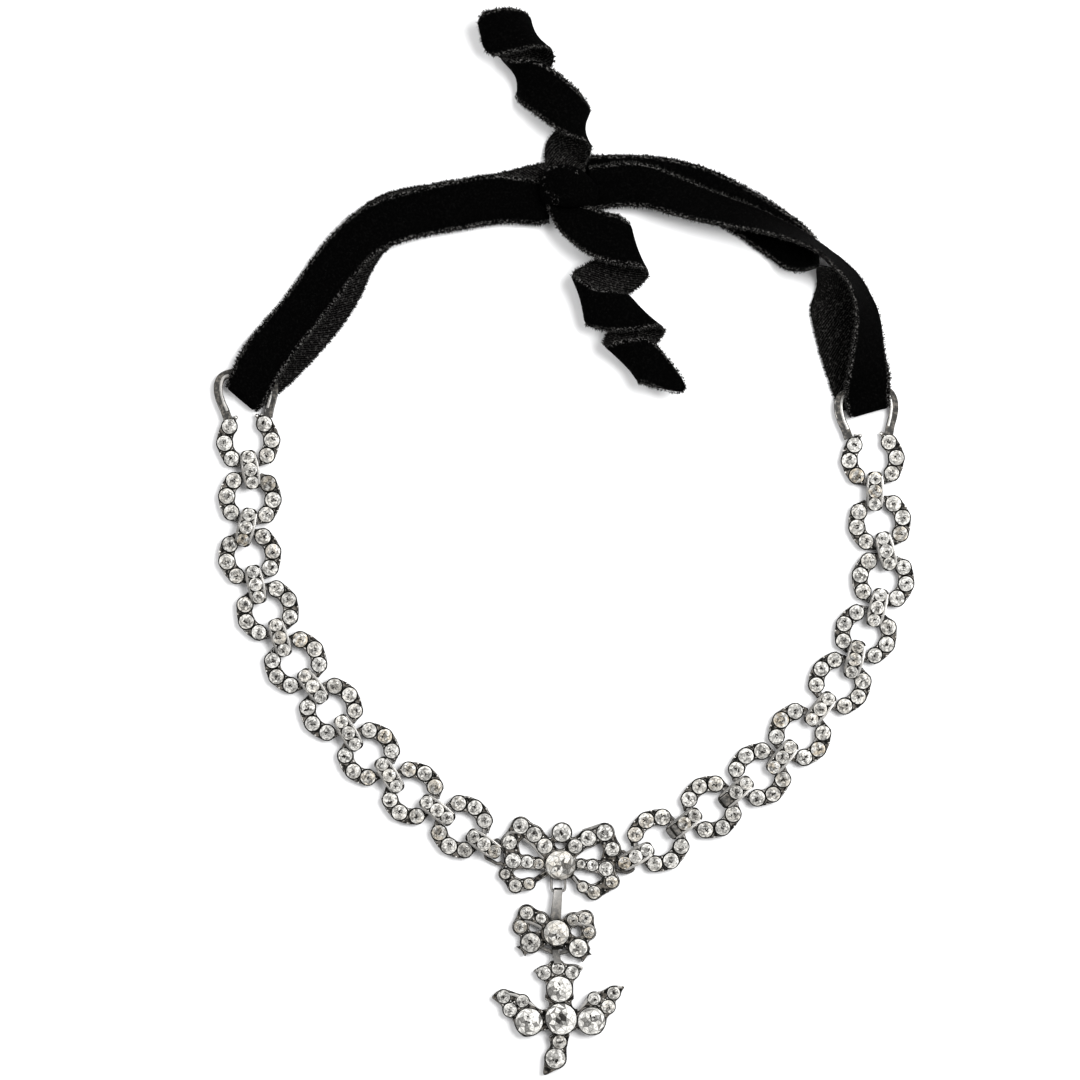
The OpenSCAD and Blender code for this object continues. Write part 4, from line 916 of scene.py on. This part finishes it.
def build_dove():
    form = Form()
    limbs = [(0, 1, 0.8), (0, 2, 0.7), (0, 3, 0.7), (0, 13, 0.95), (13, 14, 1)]
    extra = [closed(DOVE_AT, s) for s in DOVE_SHAPES]
    seats, outline, top = seat_field(DOVE_AT, DOVE, limbs, 0.3, 4, extra)
    relief(form, outline, top, BACK, box_of(seats, extra), seats)
    pairs = [(0, 1), (1, 4), (1, 6), (4, 5), (5, 6), (0, 2), (0, 3), (2, 7), (2, 8), (7, 9), (7, 8), (3, 10),
             (3, 11), (10, 11), (11, 12), (10, 12), (8, 9), (0, 13), (13, 14)]
    grains_between(form, seats, pairs, outline, 23)
    bail(form, -2.0, DOVE_AT[0] - 0.6, (-81.75, -85.2), 0.72, 0.74, (0.06, 0.3))
    # Painted shade: two black strips, a dark line near the strap's lower end and the dark gap above its top.
    strip(form, [(-2.3, -84.75, 2.24), (-0.7, -84.75, 2.24)], 0.13, 0.2, wear=0, seat=0)
    strip(form, [(-2.75, -81.35, 1.75), (-0.5, -81.35, 1.75)], 0.36, 0.5, wear=0, seat=0)
    # painted highlights along some rims
    highlight_wires(form, [
        [(-12.6, -90.6), (-10.2, -90.9), (-7.7, -92.1), (-5.7, -93.7), (-4.7, -94.4)],
        [(2.75, -94.1), (4, -92.4), (5.4, -90.9), (6.9, -90.3)],
        [(8.6, -89.9), (10.4, -89.4), (11.3, -89.3)], [(-5.9, -86.1), (-4.8, -85.6), (-3.8, -85.3)],
        [(2.6, -85.1), (3.2, -85.4), (3.5, -85.7)],
    ], 0.5)
    form.metal("dove_pendant")
    field_stones("dove_stones", seats, 4, {}, 900, 0.5)
    for i, word in enumerate(("breast_stone", "tail_stone", "wing_stone_left", "wing_stone_right")):
        main_stone("dove_" + word, seats[i], 0.14, 0.36 * seats[i][2], (0.05, 0), 990 + i, i == 0)


def build_side(side, rings, last, stirrup, base):
    """Rings and bars of one side; base is the seed of its first ring."""
    ring_stones, bar_stones = Form(), Form()
    for i, pose in enumerate(rings):
        name = f"link_{side[0]}{i + 1}"
        ring_link("ring_" + name, pose, stirrup if i == 0 else None, ring_stones, base + i)
        bar = bar_pose(pose, rings[i + 1]) if i + 1 < len(rings) else last
        bar_link("bar_" + name, bar, bar_stones, base + 50 + i, BARE_PLATES.get(name))
    ring_stones.piece(f"ring_stones_{side}_cut", PASTE, "paste", [f"ring_stones_{side}"])
    bar_stones.piece(f"bar_stones_{side}_cut", PASTE, "paste", [f"bar_stones_{side}"])


build_side("left", LEFT_RINGS, LEFT_LAST, (0.35, 13.9), 100)
build_side("right", RIGHT_RINGS, RIGHT_LAST, (-0.45, 13.7), 200)
build_bow()
build_drop()
build_dove()

# Ribbons, by rows of x, y and z, direction across and roll in degrees, and width where it isn't RIBBON_WIDE
LEFT_UNDER = [
    (-1.6, 71.9, 0.57, 103, 0, 8.4), (-5.4, 71, 0.57, 104, 0, 8.8), (-15.1, 68.3, 0.52, 99, 0),
    (-25.1, 66.9, 0.52, 100, 0), (-34.7, 64.9, 0.52, 112, 0), (-39.9, 60.9, 0.52, 136, 0),
    (-43.1, 56.1, 0.52, 150, 0), (-45.5, 50.7, 0.52, 153, 0), (-48.7, 45.7, 0.52, 144, 0),
    (-53.1, 40.5, 0.52, 138.5, 0), (-58.1, 35.1, 0.54, 137, 0, 9.4), (-61.8, 31.7, 0.56, 139, 0, 9),
]
LEFT_OVER = [
    (-62.9, 31.6, 2.78, 141, -2, 9.3), (-60.9, 35.4, 2.72, 139, -8), (-57.2, 40.5, 2.52, 140, -19),
    (-53.1, 45.4, 2.57, 143, -22), (-49.3, 50.4, 2.57, 146, -18), (-45.7, 55.3, 2.62, 143, -15),
    (-42.2, 59.4, 2.67, 135, -13), (-38.5, 62.3, 2.42, 121, -9), (-33.3, 64.5, 2.02, 108, -4, 9.7),
    (-27.7, 65.9, 1.82, 102, 0, 9.8), (-21.5, 67.1, 1.82, 100, 0, 10), (-15.1, 68.2, 1.92, 95, 0, 9.9),
    (-10, 68.1, 1.92, 88, 0, 9.4), (-5.4, 67.6, 1.87, 90, 0, 8.9), (-3, 67.7, 1.8, 86, 0, 8),
]
RIGHT_UNDER = [
    (1.5, 72.5, 0.57, 96, 0, 8.4), (6.5, 72.7, 0.57, 95, 0, 9), (16.9, 72.3, 0.52, 86, 0),
    (24.9, 70.7, 0.52, 72, 0), (30.5, 68.5, 0.52, 62, 0), (36.5, 65.3, 0.6, 56, 0), (42.1, 61.5, 0.8, 54, 0),
    (46.1, 58.3, 1.72, 51, -12), (48.9, 55.7, 4.2, 47, -52), (50.5, 54.4, 5.12, 44, -90),
    (52.2, 52.3, 4.6, 36, -120), (53.2, 49.4, 2.55, 24, -154), (53.7, 46.6, 1.35, 12, -170),
    (54.5, 43.1, 0.68, 8, -179), (55.9, 37.7, 0.56, 14, -180), (57.5, 32.5, 0.57, 20, -180, 9.4),
    (58.8, 28.5, 0.55, 18, -180, 9),
]
RIGHT_OVER = [
    (60.3, 30.3, 2.87, 15, -183, 9.5), (60.3, 34.4, 4.75, 12, -210), (60.2, 38, 5.1, 9, -222),
    (60.3, 41.5, 5.22, 12, -230), (60, 45.24, 5.56, 18, -237), (59, 48.5, 5.84, 26, -244),
    (57.3, 51.9, 5.93, 38, -249), (54.4, 55, 5.93, 45, -252), (50.6, 58.1, 6.55, 52, -256),
    (46.1, 60.65, 6.45, 58, -250), (40.66, 62.85, 5.69, 62, -242), (35.3, 64.6, 5.21, 66, -232),
    (28.2, 66.6, 4.7, 70, -222), (21.7, 68.9, 4.09, 76, -212), (17, 70.6, 3.3, 88, -200, 9.4),
    (11.5, 71.15, 2.39, 92, -186, 9), (5, 70.4, 1.95, 94, -182, 8.6),
]
# The upper tail is a loose curl: its axis, turn in degrees, reach across, reach up, middle height, width
UPPER_CURL = [
    (-0.1, 73.4, 0, 0.3, 0.1, 1.97, 7.4), (-0.1, 77.2, 5, 1.2, 0.5, 1.75, 8.6),
    (-0.2, 79.4, 40, 2.8, 1.7, 2.5, 9), (-0.3, 80.8, 92, 4, 2, 3.2, 9), (-1.3, 84.2, 140, 4, 2, 3.2, 9.2),
    (-2.9, 88.4, 180, 3.8, 2, 3.2, 9.4), (-4.9, 92.6, 220, 3.8, 2, 3.2, 9.4),
    (-6.6, 95.3, 268, 3.9, 2, 3.4, 9.2), (-7.5, 96.6, 340, 3, 2.2, 3.4, 9.2),
    (-8, 97.9, 440, 3.2, 2.4, 3.9, 9.2), (-9.8, 99.6, 495, 3.6, 2.5, 4, 9.4),
    (-12.7, 101.4, 540, 3.6, 2.5, 4, 9.4), (-15.4, 103.1, 585, 3.8, 2.2, 4, 9),
]
LOWER_TAIL = [
    (-1.9, 67.3, 2.54, -18, 0, 4.4), (1.9, 63.7, 5.72, 49, 0, 7.5), (6.9, 60.9, 6.62, 66, 0, 9.4),
    (10.7, 59.7, 6.42, 85, -8), (13.7, 58.5, 5.12, 101, -28), (13.9, 56.3, 3.32, 126, -20, 9.5),
    (10.3, 53.3, 2.17, 123, -2, 9.4), (5.9, 50.9, 2.42, 116, 5, 9.4), (3.3, 49.3, 3.82, 118, 30, 9.4),
    (3.9, 47.5, 5.42, 95, 16, 9.4), (7.3, 46.1, 6.42, 112, 2, 9.4), (11.7, 45.9, 6.32, 122, -4, 9.4),
    (15.1, 45.7, 5.02, 130, -26, 9.4), (15.9, 44.1, 3.32, 150, -17, 9.4), (13.9, 41.3, 2.32, 147, -2, 9.4),
    (11.7, 38.1, 2.62, 148, 8, 9.4), (11.1, 36.3, 3.92, 138, 30, 9.4), (13.1, 35.9, 5.42, 108, 18, 9.4),
    (16.1, 35.7, 6.12, 80, 0, 8.8), (19.5, 33.1, 5.82, 62, 0, 6), (23.5, 30.1, 5.22, 50, 0, 2.2),
]
# The fold in each stirrup: middle x and y, lower and upper layer, direction across, roll, and where it points
LEFT_BEND = (-64.1, 29.35, 0.56, 2.72, 140, 0, 230)
RIGHT_BEND = (60.6, 27, 0.52, 2.62, 15.5, -180, -74.5)
# The knot: middle x and y, half-height across, lowest and highest z
KNOT = [
    (-5.1, 70.7, 2, 2.75, 4.2), (-3.9, 70.7, 3.4, 2.7, 6), (-1.9, 70.9, 4, 2.7, 7.2),
    (0.5, 70.7, 4.2, 2.7, 7.6), (2.9, 70.3, 3.8, 2.7, 7), (4.9, 69.5, 2.9, 2.7, 5.6),
    (6.5, 68.7, 1.8, 2.75, 4.2),
]
RIBBON_THICK, RIBBON_WIDE = 0.92, 9.6
HAIRS_PER_MM = 14


def bend_rows(bend, widths):
    x, y, low, high, lie, roll, towards = bend
    d, r = math.radians(towards), (high - low) / 2
    rows = []
    for k, width in enumerate(widths):
        a = math.radians(45 * (k - 2))
        rows.append((x + r * math.cos(a) * math.cos(d), y + r * math.cos(a) * math.sin(d),
                     (low + high) / 2 + r * math.sin(a), lie, roll, width))
    return rows


def curl_rows(table, steps=5):
    """Rows for a ribbon that winds round an axis, its velvet outside."""
    line = smooth(table, steps)
    axis = unit(np.gradient(line[:, :2], axis=0))
    turn = np.radians(line[:, 2])
    sin, cos = np.sin(turn), np.cos(turn)
    across = np.stack([axis[:, 1], -axis[:, 0]], 1)
    p = np.column_stack([line[:, :2] + (line[:, 3] * sin)[:, None] * across, line[:, 5] - line[:, 4] * cos])
    out = unit(np.column_stack([(sin / line[:, 3])[:, None] * across, -cos / line[:, 4]]))
    w = unit(np.cross(out, unit(np.gradient(p, axis=0))))
    p[:, 2] = np.maximum(p[:, 2], 0.6 + 0.5 * line[:, 6] * np.abs(w[:, 2]))
    lie = np.degrees(np.unwrap(np.arctan2(w[:, 1], w[:, 0])))
    return np.column_stack([p, lie, np.degrees(np.arcsin(w[:, 2])), line[:, 6]])


def ribbon(node, rows, steps, seed, ragged=0):
    """A ribbon, velvet above and woven below, with hairs; ragged is the number of hairs on its cut end."""
    rg = np.random.default_rng(seed)
    line = smooth([(*r, RIBBON_WIDE) if len(r) == 5 else r for r in rows], steps)
    n = len(line)
    p = line[:, :3]
    if ragged:
        short = np.clip(1 - np.linalg.norm(p - p[-1], axis=1) / 2.2, 0, 1)
        line[:, 5] *= np.sqrt(1 - 0.55 * short ** 2)
    half = line[:, 5] / 2
    tang = unit(tangents(p))
    a, r = np.radians(line[:, 3]), np.radians(line[:, 4])
    w = np.stack([np.cos(a) * np.cos(r), np.sin(a) * np.cos(r), np.sin(r)], 1)
    nrm = unit(np.cross(tang, w))
    run = np.concatenate([[0], np.cumsum(np.linalg.norm(np.diff(p, axis=0), axis=1))])
    cols = np.linspace(-1, 1, 15)
    v, attr = [], []
    wob = [smooth([[q] for q in rg.normal(0, 0.05, n // steps + 3)], steps)[:n, 0] for _ in range(2)]
    for i in range(n):
        for face in (1, -1):
            for c in (cols if face == 1 else cols[::-1]):
                edge = abs(c)
                u = c * (half[i] - 0.06) + (wob[0][i] if c > 0 else wob[1][i]) * edge ** 4
                q = face * RIBBON_THICK / 2 * math.sqrt(max(1 - max(edge - 0.9, 0) ** 2 / 0.0105, 0.02))
                if face == 1:
                    q += 0.03 * math.sin(run[i] * 1.7 + c * 2.3)
                v.append(p[i] + u * w[i] + q * nrm[i])
                attr.append((edge, run[i], 0 if face == 1 else 1 + c / 2))
    form = Form()
    form.add(v, tube_faces(n, 2 * len(cols), True), np.array(attr))
    piece = form.piece(node + "_cloth", VELVET, "velvet", [node], 60)
    # short hairs: dense along the two edges and the cut end, thin over the pile
    form = Form()
    hv, hf = [], []

    def hair(base, out, length, width):
        out = out / np.linalg.norm(out)
        length, width = rg.uniform(*length), rg.uniform(*width) if isinstance(width, tuple) else width
        side = np.cross(out, rg.normal(0, 1, 3))
        side *= width / max(np.linalg.norm(side), 1e-6)
        tip = base + out * length
        if min(base[2], tip[2]) < 0.03:
            return
        k = len(hv)
        hv.extend([base - side, base + side, tip])
        hf.append([k, k + 1, k + 2])

    for i in range(n - 1):
        seg, step = run[i + 1] - run[i], p[i + 1] - p[i]
        for side in (-1, 1):
            for _ in range(rg.poisson(seg * HAIRS_PER_MM)):
                q = p[i] + rg.random() * step + side * (half[i] - 0.12) * w[i]
                q = q + rg.uniform(-0.3, 0.42) * nrm[i]
                hair(q, side * w[i] + rg.normal(0, 0.32, 3) + 0.15 * nrm[i], (0.3, 0.75), (0.06, 0.15))
        for _ in range(rg.poisson(seg * HAIRS_PER_MM)):
            t, c = rg.random(), rg.uniform(-0.97, 0.97)
            q = p[i] + t * step + c * half[i] * w[i] + (RIBBON_THICK / 2 - 0.04) * nrm[i]
            hair(q, nrm[i] + rg.normal(0, 0.7, 3), (0.12, 0.3), 0.02)
    for _ in range(ragged):
        q = p[-1] + rg.uniform(-0.95, 0.95) * half[-1] * w[-1] + rg.uniform(-0.35, 0.35) * nrm[-1]
        hair(q, tang[-1] + rg.normal(0, 0.5, 3), (0.35, 0.85), 0.1)
    form.add(hv, hf, (0.5, 0, 0))
    fuzz = form.piece(node + "_cloth_hairs", HAIR, "velvet", [])


def knot_highlight(x, y):
    """Whether the knot's upper side is painted lighter here, a painted highlight: a broken arc along the
    selvedge and a small patch.
    """
    turned = math.atan2(y - 71.2, x + 0.9)
    arc = abs(math.hypot(x + 0.9, y - 71.2) - 3.5 - 0.22 * math.sin(3 * turned) - 0.1 * math.sin(11 * turned))
    if arc < 0.36 and y > 70.6 + 0.8 * x and math.sin(14 * turned) > -0.4:
        return True
    patch = math.hypot(x + 1.9, (y - 67.9) * 0.8)
    return patch < 0.9 and math.sin(9 * x) * math.cos(8 * y) > -0.2


def knot():
    """One closed lump with a crease across it."""
    line = smooth(KNOT, 14)
    v, attr = [], []
    m = 72
    for x, y, h, lo, hi in line:
        for k in range(m):
            a = 2 * math.pi * k / m
            c, s = math.cos(a), math.sin(a)
            yy = y + h * math.copysign(abs(c) ** 0.8, c)
            crease = 0.3 * math.exp(-((x + 2.4 + (yy - 70.4) * 0.25) / 0.5) ** 2) if s > 0 else 0
            zz = (lo + hi) / 2 + (hi - lo) / 2 * math.copysign(abs(s) ** 0.8, s) - crease
            v.append((x, yy, zz))
            # Painted highlight: the velvet is painted lighter at the marked spots of the knot's upper side.
            attr.append((0.88 if s > 0 and knot_highlight(x, yy) else 0.5, x, 0))
    form = Form()
    form.add(v, tube_faces(len(line), m), np.array(attr))
    form.piece("knot_lump", VELVET, "velvet", ["ribbon_knot"], 60)


left_bend = bend_rows(LEFT_BEND, (8.3, 7.85, 7.4, 8, 8.6))
right_bend = bend_rows(RIGHT_BEND, (8.6, 8.3, 8, 8.4, 8.8))
ribbon("ribbon_left", LEFT_UNDER + left_bend + LEFT_OVER, 8, 31)
ribbon("ribbon_right", RIGHT_UNDER + right_bend + RIGHT_OVER, 8, 32)
ribbon("ribbon_tail_upper", curl_rows(UPPER_CURL), 2, 33, 60)
ribbon("ribbon_tail_lower", LOWER_TAIL, 9, 34, 40)
knot()

# Table, light and camera, in metres
bpy.ops.mesh.primitive_plane_add(size=1.6, location=(0, 0, -0.00005))
floor = bpy.context.object
floor.name = "table_top"
floor.data.materials.append(floor_material())

world = bpy.data.worlds.new("studio")
bpy.context.scene.world = world
world.use_nodes = True
background = world.node_tree.nodes["Background"]
background.inputs[0].default_value = (1, 1, 1, 1)
background.inputs[1].default_value = 0.55


def area_light(name, place, size, energy):
    """A soft round light that looks at the origin."""
    data = bpy.data.lights.new(name, "AREA")
    data.shape = "DISK"
    data.size = size
    data.energy = energy
    obj = bpy.data.objects.new(name, data)
    bpy.context.scene.collection.objects.link(obj)
    x, y, z = place
    obj.location = place
    obj.rotation_euler = (math.atan2(math.hypot(x, y), z), 0, math.atan2(-y, -x) - math.pi / 2)


area_light("key", (0.42, 0.2, 0.72), 0.55, 11)
area_light("fill", (-0.5, 0.35, 0.6), 0.5, 3)

camera_data = bpy.data.cameras.new("camera")
camera_data.sensor_width = 36
camera_data.lens = 180
camera_data.clip_end = 10
camera = bpy.data.objects.new("camera", camera_data)
bpy.context.scene.collection.objects.link(camera)
camera.location = (-0.004913, 0.000674, 1.082)
camera.rotation_euler = (0, 0, 0)
bpy.context.scene.camera = camera
bpy.context.scene.view_settings.view_transform = "Standard"
